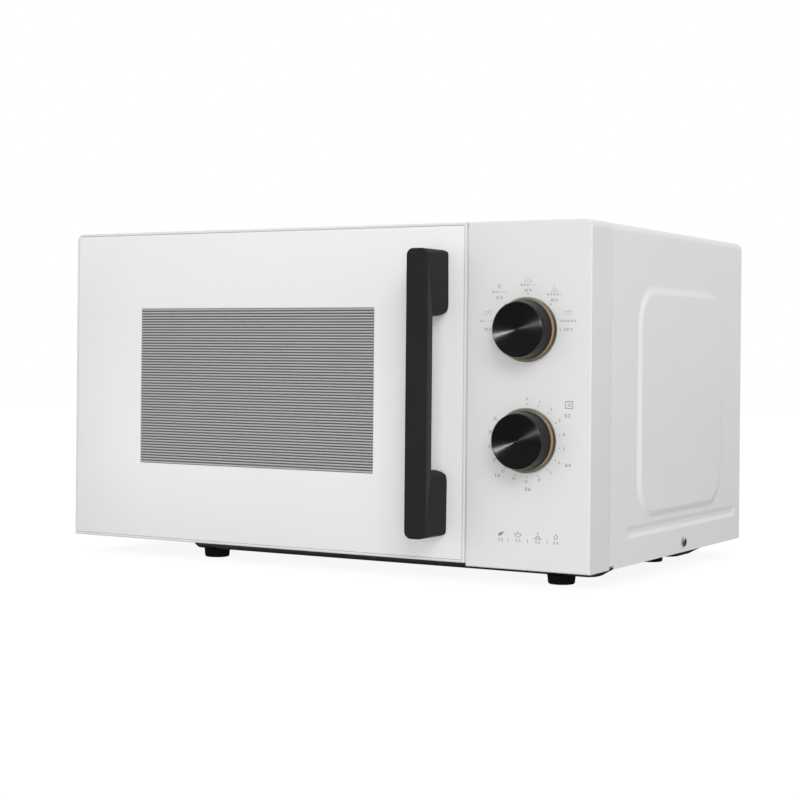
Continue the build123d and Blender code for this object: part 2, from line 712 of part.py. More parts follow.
def magnetron():
    """Open yoke round an anode, with the antenna on one side and the filter box and plug on the other."""
    yoke_right = WAVEGUIDE_RIGHT + YOKE_REACH
    y = about(YOKE_Y, YOKE_LENGTH)
    z = about(YOKE_Z, YOKE_HEIGHT)
    body = block((WAVEGUIDE_RIGHT, yoke_right), y, z)
    body -= block((WAVEGUIDE_RIGHT + YOKE_WALL, yoke_right - YOKE_WALL), y, grown(z, -YOKE_WALL))
    body += along_x(disc(YOKE_Y, YOKE_Z, ANODE_RADIUS), WAVEGUIDE_RIGHT, yoke_right)
    body += along_x(disc(YOKE_Y, YOKE_Z, ANTENNA_RADIUS), WAVEGUIDE_RIGHT - ANTENNA_LENGTH, WAVEGUIDE_RIGHT)
    size = about(YOKE_Y, FILTER_SIZE), about(YOKE_Z, FILTER_SIZE)
    box_x = (yoke_right, yoke_right + FILTER_BOX)
    body += block(box_x, *size)
    plug_y = size[0][0] - PLUG_REACH
    body += block(about(sum(box_x) / 2, PLUG_SIZE), (plug_y, size[0][0]), about(YOKE_Z, PLUG_SIZE))
    for height in about(YOKE_Z, BLADE_SPACING):
        blade_z = about(height, SHEET)
        body += block(about(sum(box_x) / 2, BLADE_WIDTH), (plug_y - TERMINAL_HEIGHT, plug_y), blade_z)
    return body


def magnetron_fins():
    """Cooling fins between the ends of the yoke, pressed on the anode."""
    space = (WAVEGUIDE_RIGHT + YOKE_WALL, WAVEGUIDE_RIGHT + YOKE_REACH - YOKE_WALL)
    pitch = (space[1] - space[0]) / (FIN_COUNT + 1)
    face = area(about(YOKE_Y, YOKE_LENGTH), about(YOKE_Z, YOKE_HEIGHT - 2 * YOKE_WALL))
    face -= disc(YOKE_Y, YOKE_Z, ANODE_RADIUS + RUNNING)
    places = [space[0] + pitch * (index + 1) for index in range(FIN_COUNT)]
    return [along_x(face, *about(place, FIN_THICKNESS)) for place in places]


def lamp_holder():
    """Open-sided lamp housing on the outside of the cavity wall."""
    x = (BAY_LEFT, BAY_LEFT + LAMP_DEPTH)
    return block(x, LAMP_Y, LAMP_Z) - block(
        (x[0], x[1] - LAMP_WALL), grown(LAMP_Y, -LAMP_WALL), grown(LAMP_Z, -LAMP_WALL),
    )


def lamp_bulb():
    """Small bulb standing on the floor of its housing."""
    base = LAMP_Z[0] + LAMP_WALL
    top = base + BULB_LENGTH
    profile = outline([
        (0, base), (BULB_NECK_RADIUS, base), (BULB_NECK_RADIUS, base + BULB_NECK),
        (BULB_RADIUS, base + BULB_NECK + BULB_TAPER), (BULB_RADIUS, top - BULB_TAPER),
        (BULB_NECK_RADIUS, top), (0, top),
    ])
    return Pos(BAY_LEFT + (LAMP_DEPTH - LAMP_WALL) / 2, sum(LAMP_Y) / 2, 0) * turned(profile)


def transformer_spans():
    """Extent of the laminated core, standing on the base plate against the right of the bay."""
    right = BAY_RIGHT - SHEET - BAY_MARGIN
    y = (REAR - TRANSFORMER_REAR - TRANSFORMER_LENGTH, REAR - TRANSFORMER_REAR)
    return (right - TRANSFORMER_WIDTH, right), y, (BASE_TOP, BASE_TOP + TRANSFORMER_HEIGHT)


def transformer_core():
    """Stack of E and I laminations with two windows for the coils, welded to its mounting plate."""
    x, y, z = transformer_spans()
    limb = (TRANSFORMER_WIDTH - 4 * CORE_LIMB) / 2
    face = area(x, z)
    for middle in (x[0] + CORE_LIMB + limb / 2, x[1] - CORE_LIMB - limb / 2):
        face -= area(about(middle, limb), grown(z, -CORE_LIMB))
    core = along_y(face, *y)
    core += block(x, grown(y, TRANSFORMER_TAB), (z[0], z[0] + TRANSFORMER_PLATE))
    hole = Cylinder(SCREW_RADIUS + RUNNING, 2 * TRANSFORMER_PLATE)
    places = [(u, v) for u in grown(x, -TRANSFORMER_TAB) for v in grown(y, TRANSFORMER_TAB / 2)]
    return core - [Pos(*place, z[0]) * hole for place in places]


def transformer_coils():
    """Primary and secondary windings round the middle limb, one above the other."""
    x, y, z = transformer_spans()
    inner = about(sum(x) / 2, 2 * CORE_LIMB)
    outer = grown(x, -CORE_LIMB)
    rows = grown(z, -CORE_LIMB)
    height = (rows[1] - rows[0] - COIL_GAP) / 2
    coils = []
    for low in (rows[0], rows[1] - height):
        span = (low, low + height)
        winding = area(outer, grown(y, COIL_BULGE), COIL_BULGE) - area(inner, y)
        coils.append(along_z(winding, *span))
    return coils


def capacitor_spans():
    """Extent of the oval capacitor can, on the base plate between the cavity and the transformer."""
    rear = transformer_spans()[1][0] - COIL_BULGE - CAPACITOR_GAP
    y = (rear - CAPACITOR_LENGTH, rear)
    left = BAY_LEFT + BAY_MARGIN
    return (left, left + CAPACITOR_THICKNESS), y


def capacitor():
    """Oval can with a crimped rim and two blade terminals."""
    x, y = capacitor_spans()
    top = BASE_TOP + CAPACITOR_HEIGHT
    radius = CAPACITOR_THICKNESS / 2 - LOOSE
    body = along_z(area(x, y, radius), BASE_TOP, top)
    rim = area(grown(x, CRIMP_LIP), grown(y, CRIMP_LIP), radius + CRIMP_LIP)
    body += along_z(rim, top - CRIMP_HEIGHT, top)
    for place in about(sum(y) / 2, TERMINAL_SPACING):
        body += block(about(sum(x) / 2, TERMINAL_WIDTH), about(place, SHEET), (top, top + TERMINAL_HEIGHT))
    return body


def capacitor_clamp():
    """Strap round the foot of the can, with two tabs on the base plate."""
    x, y = capacitor_spans()
    radius = CAPACITOR_THICKNESS / 2 - LOOSE
    strap = area(grown(x, SHEET), grown(y, SHEET), radius + SHEET) - area(x, y, radius)
    clamp = along_z(strap, BASE_TOP, BASE_TOP + CLAMP_HEIGHT)
    tabs = area(about(sum(x) / 2, CLAMP_TAB), grown(y, CLAMP_TAB)) - area(x, y, radius)
    return clamp + along_z(tabs, BASE_TOP, BASE_TOP + SHEET)


def hv_diode():
    """High-voltage diode lying on the base plate, with a flat under it."""
    right = BAY_RIGHT - SHEET - BAY_MARGIN
    y = FRONT + DIODE_SETBACK
    z = BASE_TOP + DIODE_RADIUS
    face = disc(y, z, DIODE_RADIUS) + area(about(y, DIODE_RADIUS), (BASE_TOP, z))
    return along_x(face, right - DIODE_LENGTH, right)


def filter_board():
    """Mains filter board on the top of the cavity, with its choke and fuse."""
    right = BAY_LEFT - BOARD_INSET
    y = FRONT + BOARD_SETBACK
    top = CAVITY_CEILING + SHEET
    face = area((right - BOARD_LENGTH, right), (y, y + BOARD_WIDTH))
    board = along_z(face, top, top + BOARD_THICKNESS)
    top += BOARD_THICKNESS
    for place in (right - BOARD_LENGTH / 4, right - BOARD_LENGTH * 3 / 4):
        coil = disc(place, y + BOARD_WIDTH / 2, CHOKE_COIL_RADIUS)
        board += along_z(coil, top, top + CHOKE_COIL_HEIGHT)
    return board


def thermal_cutout():
    """Small thermostat can on the top of the cavity."""
    top = CAVITY_CEILING + SHEET
    face = disc(BAY_LEFT - CUTOUT_INSET, TABLE_Y, CUTOUT_RADIUS)
    return along_z(face, top, top + CUTOUT_HEIGHT)


def fan_bracket():
    """Plate on the rear panel with a duct ring, and a strap across it that carries the motor."""
    side = 2 * (DUCT_RADIUS + FAN_MARGIN)
    plate = along_y(
        area(about(FAN_X, side), about(FAN_Z, side)) - disc(FAN_X, FAN_Z, DUCT_RADIUS),
        REAR_FACE - FAN_PLATE, REAR_FACE,
    )
    ring = disc(FAN_X, FAN_Z, DUCT_RADIUS + FAN_PLATE) - disc(FAN_X, FAN_Z, DUCT_RADIUS)
    plate += along_y(ring, FAN_DUCT_FRONT, REAR_FACE - FAN_PLATE)
    strap = area(about(FAN_X, side), about(FAN_Z, FAN_STRAP))
    strap -= disc(FAN_X, FAN_Z, FAN_SHAFT_RADIUS + LOOSE)
    return plate + along_y(strap, FAN_STRAP_FRONT, FAN_DUCT_FRONT)


def fan_motor():
    """Shaded-pole motor in front of the strap, with a bore for its shaft."""
    front = FAN_STRAP_FRONT - FAN_MOTOR_DEPTH
    size = about(FAN_X, FAN_MOTOR_SIZE), about(FAN_Z, FAN_MOTOR_SIZE)
    body = along_y(area(*size), front, FAN_STRAP_FRONT)
    bore = disc(FAN_X, FAN_Z, FAN_SHAFT_RADIUS + RUNNING)
    return body - along_y(bore, FAN_STRAP_FRONT - FAN_SHAFT_SEAT, FAN_STRAP_FRONT)


def fan_blade():
    """Hub with curved, pitched blades, and the motor shaft it is pressed on."""
    hub_front = FAN_DUCT_FRONT + FAN_GAP
    hub = along_y(disc(FAN_X, FAN_Z, FAN_HUB_RADIUS), hub_front, hub_front + FAN_HUB_LENGTH)
    shaft = disc(FAN_X, FAN_Z, FAN_SHAFT_RADIUS)
    hub += along_y(shaft, FAN_STRAP_FRONT - FAN_SHAFT_SEAT + LOOSE, hub_front)
    reach = FAN_RADIUS - FAN_HUB_RADIUS / 2
    curve = Circle(FAN_BLADE_CAMBER) - Circle(FAN_BLADE_CAMBER - FAN_BLADE_THICKNESS)
    curve &= area(about(0, FAN_BLADE_CHORD), (0, FAN_BLADE_CAMBER))
    section = Plane.YZ.offset(FAN_HUB_RADIUS / 2) * Pos(0, -FAN_BLADE_CAMBER) * curve
    blade = Rot(FAN_BLADE_PITCH, 0, 0) * extrude(section, reach)
    disc_limit = Cylinder(FAN_RADIUS, FAN_BLADE_CHORD)
    place = Plane(
        origin=(FAN_X, hub_front + FAN_HUB_LENGTH / 2, FAN_Z), x_dir=(1, 0, 0), z_dir=(0, -1, 0),
    )
    for index in range(FAN_BLADES):
        turn = Rot(0, 0, 360 / FAN_BLADES * index)
        hub += place * (turn * blade & disc_limit)
    return hub


def control_panel_section(inset):
    """Front view of the control panel, rounded at the top right like the casing."""
    shape = area((PANEL_LEFT + inset, HALF - inset), (BOTTOM - CASE_SKIRT + inset, TOP - inset))
    corner = shape.vertices().sort_by(Axis.X)[-2:].sort_by(Axis.Y)[-1]
    return fillet(corner, CASE_BEND - inset)


def control_panel():
    """Hollow moulding, open at the back, with stiffening ribs, screw bosses and a hole for each shaft."""
    body = along_y(control_panel_section(0), FRONT, CASE_FRONT)
    body = fillet(body.faces().sort_by(Axis.Y)[0].edges(), FRONT_ROUND)
    body -= along_y(control_panel_section(PANEL_WALL), PANEL_INSIDE, CASE_FRONT)
    inside = grown((PANEL_LEFT, HALF), -PANEL_WALL)
    for height in grown(timer_span(), PANEL_RIB_GAP):
        body += block(inside, (PANEL_INSIDE, PANEL_INSIDE + PANEL_RIB_DEPTH), about(height, PANEL_RIB))
    for x in grown((PANEL_LEFT, HALF), -PANEL_BOSS_INSET):
        for z in grown((BOTTOM, TOP), -PANEL_BOSS_INSET):
            boss = disc(x, z, PANEL_BOSS_RADIUS) - disc(x, z, SCREW_RADIUS)
            body += along_y(boss, PANEL_INSIDE, CASE_FRONT)
    for height in DIAL_HEIGHTS.values():
        body -= along_y(disc(DIAL_X, height, SHAFT_RADIUS + LOOSE), FRONT, PANEL_INSIDE)
    return body


def timer_span():
    """Low and high edge of the timer housing round both dials."""
    heights = sorted(DIAL_HEIGHTS.values())
    return grown((heights[0], heights[1]), TIMER_MARGIN)


def timer_unit():
    """Timer and power selector in one housing, with a small motor and a column of terminals."""
    body = along_y(area(about(DIAL_X, TIMER_WIDTH), timer_span()), PANEL_INSIDE, TIMER_BACK)
    motor = disc(DIAL_X, DIAL_HEIGHTS["timer"], TIMER_MOTOR_RADIUS)
    body += along_y(motor, TIMER_BACK, TIMER_BACK + TIMER_MOTOR_DEPTH)
    for height in DIAL_HEIGHTS.values():
        bore = disc(DIAL_X, height, SHAFT_RADIUS + RUNNING)
        body -= along_y(bore, PANEL_INSIDE, PANEL_INSIDE + SHAFT_SEAT)
    for index in range(TIMER_BLADES):
        height = DIAL_HEIGHTS["power"] + BLADE_SPACING * (index - (TIMER_BLADES - 1) / 2)
        blade_y = (TIMER_BACK, TIMER_BACK + TERMINAL_HEIGHT)
        body += block(about(DIAL_X, BLADE_WIDTH), blade_y, about(height, SHEET))
    return body


def shaft_section(clearance):
    """Front view of a round shaft with a flat on its upper side."""
    flat = area(about(0, 4 * SHAFT_RADIUS), (SHAFT_FLAT + clearance, 4 * SHAFT_RADIUS))
    return Circle(SHAFT_RADIUS + clearance) - flat


def dial_shaft(height):
    """Shaft of one dial, round in its bearing and flat-sided in the knob."""
    bearing = along_y(disc(DIAL_X, height, SHAFT_RADIUS), RING_BACK, PANEL_INSIDE + SHAFT_SEAT - LOOSE)
    grip = Pos(DIAL_X, height) * shaft_section(0.0)
    return bearing + along_y(grip, RING_BACK - SHAFT_GRIP, RING_BACK)


def dial_ring(height):
    """Metal ring round the foot of a knob, with a chamfered front edge."""
    place = Plane(origin=(DIAL_X, RING_BACK, height), x_dir=(1, 0, 0), z_dir=(0, -1, 0))
    profile = outline([
        (KNOB_SPIGOT_RADIUS, 0), (RING_RADIUS, 0), (RING_RADIUS, RING_THICKNESS - RING_EDGE),
        (RING_RADIUS - RING_EDGE, RING_THICKNESS), (KNOB_SPIGOT_RADIUS, RING_THICKNESS),
    ])
    return place * turned(profile)


def dial_knob(height):
    """Tapered knob, hollow at the back, with a flat-sided hub on the shaft and a seat for its cap."""
    place = Plane(origin=(DIAL_X, RING_BACK, height), x_dir=(1, 0, 0), z_dir=(0, -1, 0))
    seat = KNOB_FACE - CAP_DEPTH
    edge = KNOB_FACE - CAP_EDGE
    inside = KNOB_SPIGOT_RADIUS - KNOB_WALL
    spigot = KNOB_SPIGOT_RADIUS - RUNNING
    hub = 2 * SHAFT_RADIUS
    body = turned(outline([
        (0, 0), (hub, 0), (hub, seat - KNOB_WALL), (inside, seat - KNOB_WALL), (inside, 0), (spigot, 0),
        (spigot, RING_THICKNESS), (KNOB_BASE_RADIUS, RING_THICKNESS), (KNOB_FACE_RADIUS, edge),
        (CAP_RADIUS + RUNNING, edge), (CAP_RADIUS + RUNNING, seat), (0, seat),
    ]))
    socket = extrude(shaft_section(RUNNING), amount=SHAFT_GRIP + LOOSE)
    return place * (body - socket)


def dial_cap(height):
    """Metal cap pressed into the face of a knob, with a chamfered edge and a shallow coned face."""
    place = Plane(origin=(DIAL_X, RING_BACK, height), x_dir=(1, 0, 0), z_dir=(0, -1, 0))
    edge = KNOB_FACE - CAP_EDGE
    back = KNOB_FACE - CAP_DEPTH
    profile = outline([
        (0, KNOB_FACE - CAP_DISH), (KNOB_FACE_RADIUS - CAP_EDGE, KNOB_FACE), (KNOB_FACE_RADIUS, edge),
        (CAP_RADIUS, edge), (CAP_RADIUS, back), (0, back),
    ])
    return place * turned(profile)


def door_section(inset):
    """Front view of the door, rounded at the top left like the casing."""
    shape = area((inset - HALF, DOOR_RIGHT - inset), (DOOR_BOTTOM + inset, TOP - inset))
    corner = shape.vertices().sort_by(Axis.X)[:2].sort_by(Axis.Y)[-1]
    return fillet(corner, CASE_BEND - inset)


def hinge_slots():
    """Height of each slot in the door that a hinge plate reaches into, and the way its pin points."""
    upper = (TOP - HINGE_COVER - HINGE_SLOT, TOP - HINGE_COVER)
    lower = (DOOR_BOTTOM + HINGE_COVER, DOOR_BOTTOM + HINGE_COVER + HINGE_SLOT)
    return {"upper": (upper, -1), "lower": (lower, 1)}


def pin_span(slot, direction, clearance):
    """Low and high end of a hinge pin, from the middle of its slot into the door."""
    middle = sum(slot) / 2
    end = middle + direction * (HINGE_SLOT / 2 + HINGE_PIN_LENGTH + clearance)
    return sorted((middle, end))


def choke_spans():
    """Width and height of the steel choke panel inside the door."""
    x = (HINGE_STILE - HALF + CHOKE_EDGE, LATCH_X - LATCH_HALF - GUIDE_WALL - CHOKE_EDGE)
    z = grown((DOOR_BOTTOM, TOP), -DOOR_WALL - CHOKE_EDGE)
    return x, z


def back_recess():
    """Width and height of the recess in the back of the door."""
    x = (HINGE_STILE - HALF, DOOR_RIGHT - DOOR_WALL)
    return x, grown((DOOR_BOTTOM, TOP), -DOOR_WALL)


def boss_places():
    """Centre of each boss that carries the choke panel."""
    x, z = choke_spans()
    return [(u, v) for u in grown(x, -BOSS_INSET) for v in grown(z, -BOSS_INSET)]


def guide_heights():
    """Middle height of each latch guide."""
    return about(MIDDLE, GUIDE_SPACING)


def handle_screw_places():
    """Place of each handle screw, in the middle of its post."""
    inset = HANDLE_POST / 2
    return [(sum(HANDLE_X) / 2, z) for z in grown(HANDLE_Z, -inset)]


def door_frame():
    """Moulded door, with a lip round the glass, a recess at the back and a rounded hinge edge."""
    body = along_y(door_section(0), FRONT, DOOR_BACK)
    plan = area((-HALF, DOOR_RIGHT), (FRONT, DOOR_BACK))
    hinge_corner = plan.vertices().sort_by(Axis.X)[:2].sort_by(Axis.Y)[-1]
    body &= along_z(fillet(hinge_corner, HINGE_INSET), DOOR_BOTTOM, TOP)
    body = fillet(body.faces().sort_by(Axis.Y)[0].edges(), FRONT_ROUND)
    body -= along_y(door_section(GLASS_LIP), FRONT, GLASS_BACK)
    body -= along_y(area(*back_recess()), WEB_BACK, DOOR_BACK)
    body -= along_y(area(grown(WINDOW_X, WEB_MARGIN), grown(WINDOW_Z, WEB_MARGIN)), GLASS_BACK, WEB_BACK)
    for place in boss_places():
        body += along_y(disc(*place, BOSS_RADIUS), WEB_BACK, CHOKE_FRONT)
    guide_x = about(LATCH_X, LATCH_THICKNESS + 2 * GUIDE_WALL)
    channel_x = about(LATCH_X, LATCH_THICKNESS + 2 * RUNNING)
    for height in guide_heights():
        guide_z = about(height, GUIDE_HEIGHT)
        body += block(guide_x, (WEB_BACK, LATCH_BACK), guide_z)
        body -= block(channel_x, (LATCH_FRONT - RUNNING, LATCH_BACK), guide_z)
    stop = LATCH_TOP + SPRING_LENGTH
    body += block(guide_x, (WEB_BACK, LATCH_BACK), (stop, stop + GUIDE_WALL))
    reach = HINGE_EYE_RADIUS + HINGE_ROOM
    for slot, direction in hinge_slots().values():
        body -= block((-HALF, HINGE_X + reach), (HINGE_Y - reach, DOOR_BACK), slot)
        pin_hole = disc(HINGE_X, HINGE_Y, HINGE_PIN_RADIUS + RUNNING)
        body -= along_z(pin_hole, *pin_span(slot, direction, LOOSE))
    for place in handle_screw_places():
        body -= along_y(disc(*place, SCREW_RADIUS + RUNNING), GLASS_BACK, WEB_BACK)
    return body


def door_glass():
    face = door_section(GLASS_LIP + GLASS_SEAM)
    for place in handle_screw_places():
        face -= disc(*place, SCREW_RADIUS + RUNNING)
    return along_y(face, FRONT, GLASS_BACK)


def choke_panel():
    """Steel tray on the bosses, open behind, with its rim slotted into fingers that carry the cover."""
    x, z = choke_spans()
    tray = along_y(area(x, z), CHOKE_FRONT, COVER_FRONT)
    tray -= along_y(area(grown(x, -SHEET), grown(z, -SHEET)), CHOKE_FRONT + SHEET, COVER_FRONT)
    opening = area(grown(WINDOW_X, WEB_MARGIN), grown(WINDOW_Z, WEB_MARGIN))
    tray -= along_y(opening, CHOKE_FRONT, CHOKE_FRONT + SHEET)
    depth = (COVER_FRONT - FINGER_DEPTH, COVER_FRONT)
    tray -= [block(about(place, FINGER_SLOT), depth, grown(z, SHEET)) for place in finger_places(x)]
    return tray - [block(grown(x, SHEET), depth, about(place, FINGER_SLOT)) for place in finger_places(z)]


def finger_places(span):
    """Middle of each slot along one side of the choke panel's rim."""
    count = int((span[1] - span[0]) / FINGER_PITCH) - 1
    return [sum(span) / 2 + FINGER_PITCH * (index - (count - 1) / 2) for index in range(count)]


def door_screen():
    """Sheet over the opening of the choke panel; its fine perforation is left out here."""
    face = area(grown(WINDOW_X, SCREEN_MARGIN), grown(WINDOW_Z, SCREEN_MARGIN))
    return along_y(face, CHOKE_FRONT - SHEET, CHOKE_FRONT)


def choke_cover():
    """Plastic cover over the back of the door, with a window and a slot for each hook."""
    x, z = back_recess()
    face = area(grown(x, -LOOSE), grown(z, -LOOSE))
    face -= area(grown(WINDOW_X, WEB_MARGIN), grown(WINDOW_Z, WEB_MARGIN))
    for height in HOOK_HEIGHTS:
        face -= area(
            about(LATCH_X, LATCH_THICKNESS + 2 * LOOSE),
            (height - HOOK_HALF - HOOK_LIP - LOOSE, height + HOOK_HALF + LATCH_TRAVEL + LOOSE),
        )
    return along_y(face, COVER_FRONT, DOOR_BACK)


def inner_film():
    face = area(grown(WINDOW_X, SCREEN_MARGIN), grown(WINDOW_Z, SCREEN_MARGIN))
    return along_y(face, COVER_FRONT - FILM_THICKNESS, COVER_FRONT)


def crease_cutters():
    """Blocks that take a tapering slice off both sides of each handle post, up to a slanted crease."""
    cutters = []
    bar_back = FRONT - HANDLE_REACH + HANDLE_BAR
    size = HANDLE_Z[1] - HANDLE_Z[0]
    for end, inward in ((HANDLE_Z[0], 1), (HANDLE_Z[1], -1)):
        for side, outward in ((HANDLE_X[0], -1), (HANDLE_X[1], 1)):
            high = Vector(side, FRONT - HANDLE_REACH, end + inward * CREASE_DROP)
            low = Vector(side, bar_back, end + inward * HANDLE_POST)
            root = Vector(side - outward * CREASE_DEPTH, FRONT, end + inward * HANDLE_POST / 2)
            normal = (low - high).cross(root - high)
            if normal.X * outward < 0:
                normal = -normal
            slice_plane = Plane(origin=high, x_dir=low - high, z_dir=normal)
            cutters.append(slice_plane * Pos(0, 0, HANDLE_WIDTH / 2) * Box(size, size, HANDLE_WIDTH))
    return cutters


def handle():
    """Bar with a post at each end, rounded towards the grip and creased along its sides."""
    bar_back = FRONT - HANDLE_REACH + HANDLE_BAR
    bar = along_y(area(HANDLE_X, HANDLE_Z, HANDLE_END_ROUND), FRONT - HANDLE_REACH, bar_back)
    bar = fillet(bar.faces().sort_by(Axis.Y)[0].edges(), HANDLE_FRONT_ROUND)
    low, high = HANDLE_Z
    face_rounds = (HANDLE_END_ROUND, HANDLE_GRIP_ROUND)
    side_rounds = (POST_ROUND, POST_GRIP_ROUND)
    for span, order in (((low, low + HANDLE_POST), 1), ((high - HANDLE_POST, high), -1)):
        face = area(HANDLE_X, span)
        side = area((bar_back, FRONT), span)
        for end, face_round, side_round in zip((0, -1), face_rounds[::order], side_rounds[::order]):
            face = fillet(face.vertices().group_by(Axis.Y)[end], face_round)
            side = fillet(side.vertices().group_by(Axis.X)[-1].sort_by(Axis.Y)[end], side_round)
        bar += along_y(face, bar_back, FRONT) & along_x(side, *HANDLE_X)
    bar -= crease_cutters()
    for place in handle_screw_places():
        bar -= along_y(disc(*place, SCREW_RADIUS + RUNNING), FRONT - HANDLE_SCREW_DEPTH, FRONT)
    return bar


def handle_screws():
    """Screws from inside the door, through its web and glass, into the handle posts."""
    screws = []
    for place in handle_screw_places():
        shank = along_y(disc(*place, SCREW_RADIUS), FRONT - HANDLE_SCREW_DEPTH + LOOSE, WEB_BACK)
        head = along_y(disc(*place, SCREW_HEAD_RADIUS), WEB_BACK, WEB_BACK + SCREW_HEAD)
        screws.append(shank + head)
    return screws


def latch_slider():
    """Upright strip with two ramped hooks that drop behind the front plate."""
    strip = area((LATCH_FRONT, LATCH_BACK), about(MIDDLE, LATCH_LENGTH))
    catch = PLATE_BACK + LOOSE
    for height in HOOK_HEIGHTS:
        under = height - HOOK_HALF
        strip += outline([
            (LATCH_FRONT, under), (catch, under), (catch + HOOK_LIP / 2, under - HOOK_LIP),
            (HOOK_TIP - HOOK_RAMP, under - HOOK_LIP), (HOOK_TIP, under), (HOOK_TIP, height + HOOK_HALF),
            (LATCH_FRONT, height + HOOK_HALF),
        ])
    return along_x(strip, LATCH_X - LATCH_HALF, LATCH_X + LATCH_HALF)


def latch_spring():
    """Folded strip spring between the top of the slider and its stop in the door."""
    pitch = (SPRING_LENGTH - SPRING_STRIP) / SPRING_FOLDS
    leaf = (LATCH_FRONT + LOOSE, LATCH_BACK - LOOSE)
    bends = ((leaf[1] - SPRING_STRIP, leaf[1]), (leaf[0], leaf[0] + SPRING_STRIP))
    strip = area(leaf, (LATCH_TOP, LATCH_TOP + SPRING_STRIP))
    for fold in range(SPRING_FOLDS):
        low = LATCH_TOP + pitch * fold
        strip += area(bends[fold % 2], (low, low + pitch + SPRING_STRIP))
        strip += area(leaf, (low + pitch, low + pitch + SPRING_STRIP))
    return along_x(strip, LATCH_X - LATCH_HALF, LATCH_X + LATCH_HALF)


def interlock_board():
    """Moulded guide behind the front plate, with a pocket for each hook."""
    half = LATCH_HALF + LOOSE + BOARD_WALL
    low = HOOK_HEIGHTS[0] - HOOK_HALF - HOOK_LIP - LOOSE
    high = HOOK_HEIGHTS[1] + HOOK_HALF + LATCH_TRAVEL + LOOSE
    z = grown((low, high), BOARD_WALL)
    board = block((LATCH_X - half, LATCH_X + half), (PLATE_BACK, PLATE_BACK + BOARD_DEPTH), z)
    for height in HOOK_HEIGHTS:
        pocket = (height - HOOK_HALF - HOOK_LIP - LOOSE, height + HOOK_HALF + LATCH_TRAVEL + LOOSE)
        board -= block(
            about(LATCH_X, LATCH_THICKNESS + 2 * LOOSE), (PLATE_BACK, HOOK_TIP + BOARD_WALL), pocket,
        )
    return board


def interlock_switches():
    """Three small switches in a row on the side of the interlock board."""
    left = LATCH_X + LATCH_HALF + LOOSE + BOARD_WALL
    x = (left, left + SWITCH_THICKNESS)
    y = (PLATE_BACK, PLATE_BACK + SWITCH_HEIGHT)
    switches = []
    for height in (HOOK_HEIGHTS[0], MIDDLE, HOOK_HEIGHTS[1]):
        body = block(x, y, about(height, SWITCH_LENGTH))
        button_y = (y[1], y[1] + SWITCH_BUTTON)
        body += block(about(sum(x) / 2, SWITCH_BUTTON), button_y, about(height, SWITCH_BUTTON))
        switches.append(body)
    return switches


def hinge_bracket(slot, direction):
    """Steel bracket on the front plate, with an eye in the door's slot and a pin into the door."""
    plate_z = about(sum(slot) / 2, HINGE_PLATE)
    eye = disc(HINGE_X, HINGE_Y, HINGE_EYE_RADIUS)
    arm = area(about(HINGE_X, 2 * HINGE_EYE_RADIUS), (HINGE_Y, CASE_FRONT))
    bracket = along_z(eye + arm, *plate_z)
    edge = plate_z[1] if direction < 0 else plate_z[0]
    leg_z = sorted((edge, edge + direction * HINGE_LEG_DROP))
    leg_x = (HINGE_X, HINGE_X + HINGE_LEG_LENGTH)
    bracket += block(leg_x, (CASE_FRONT - HINGE_LEG, CASE_FRONT), leg_z)
    pin = disc(HINGE_X, HINGE_Y, HINGE_PIN_RADIUS)
    return bracket + along_z(pin, *pin_span(slot, direction, 0.0))


def turntable_plate():
    """Glass plate with a raised rim, a rib outside the rollers and three nubs for the coupler."""
    flat = TABLE_Z + TABLE_THICKNESS
    rib = TABLE_Z - TRACK_RIB
    plate = turned(outline([
        (0, TABLE_Z), (TRACK_RADIUS, TABLE_Z), (TRACK_RADIUS, rib), (TRACK_RIB_OUTER, rib),
        (TRACK_RIB_OUTER, TABLE_Z),
        (TABLE_FLAT_RADIUS, TABLE_Z), (TABLE_RADIUS, TABLE_Z + TABLE_RIM_RISE),
        (TABLE_RADIUS, flat + TABLE_RIM_RISE), (TABLE_FLAT_RADIUS, flat), (0, flat),
    ]))
    for place in PolarLocations(NUB_CIRCLE, WHEEL_COUNT, start_angle=180 / WHEEL_COUNT):
        nub = place * Pos(0, 0, TABLE_Z) * Cylinder(
            NUB_RADIUS, NUB_DEPTH, align=(Align.CENTER, Align.CENTER, Align.MAX),
        )
        plate += nub
    return Pos(TABLE_X, TABLE_Y, 0) * plate


def turntable_coupler():
    """Three-lobed coupler that the plate's nubs sit between, on the motor's drive shaft."""
    face = Circle(COUPLER_HUB_RADIUS)
    for place in PolarLocations(0, WHEEL_COUNT):
        lobe = area((0, COUPLER_LOBE_LENGTH), about(0, COUPLER_LOBE_WIDTH))
        face += place * lobe
    coupler = along_z(face, CAVITY_FLOOR + COUPLER_LIFT, TABLE_Z)
    coupler += along_z(Circle(DRIVE_RADIUS), MOTOR_TOP - DRIVE_SEAT + LOOSE, CAVITY_FLOOR + COUPLER_LIFT)
    return Pos(TABLE_X, TABLE_Y, 0) * coupler


def turntable_motor():
    """Flat motor under the cavity floor, with a bore for the drive shaft."""
    body = along_z(disc(TABLE_X, TABLE_Y, MOTOR_RADIUS), MOTOR_TOP - MOTOR_HEIGHT, MOTOR_TOP)
    bore = disc(TABLE_X, TABLE_Y, DRIVE_RADIUS + RUNNING)
    return body - along_z(bore, MOTOR_TOP - DRIVE_SEAT, MOTOR_TOP)


def spokes():
    """Frame of each roller's axle: Z points outwards along the axle."""
    angles = [360 / WHEEL_COUNT * index for index in range(WHEEL_COUNT)]
    centre = Pos(TABLE_X, TABLE_Y, WHEEL_Z)
    return [centre * Rot(0, 0, angle) * Rot(0, 90, 0) for angle in angles]


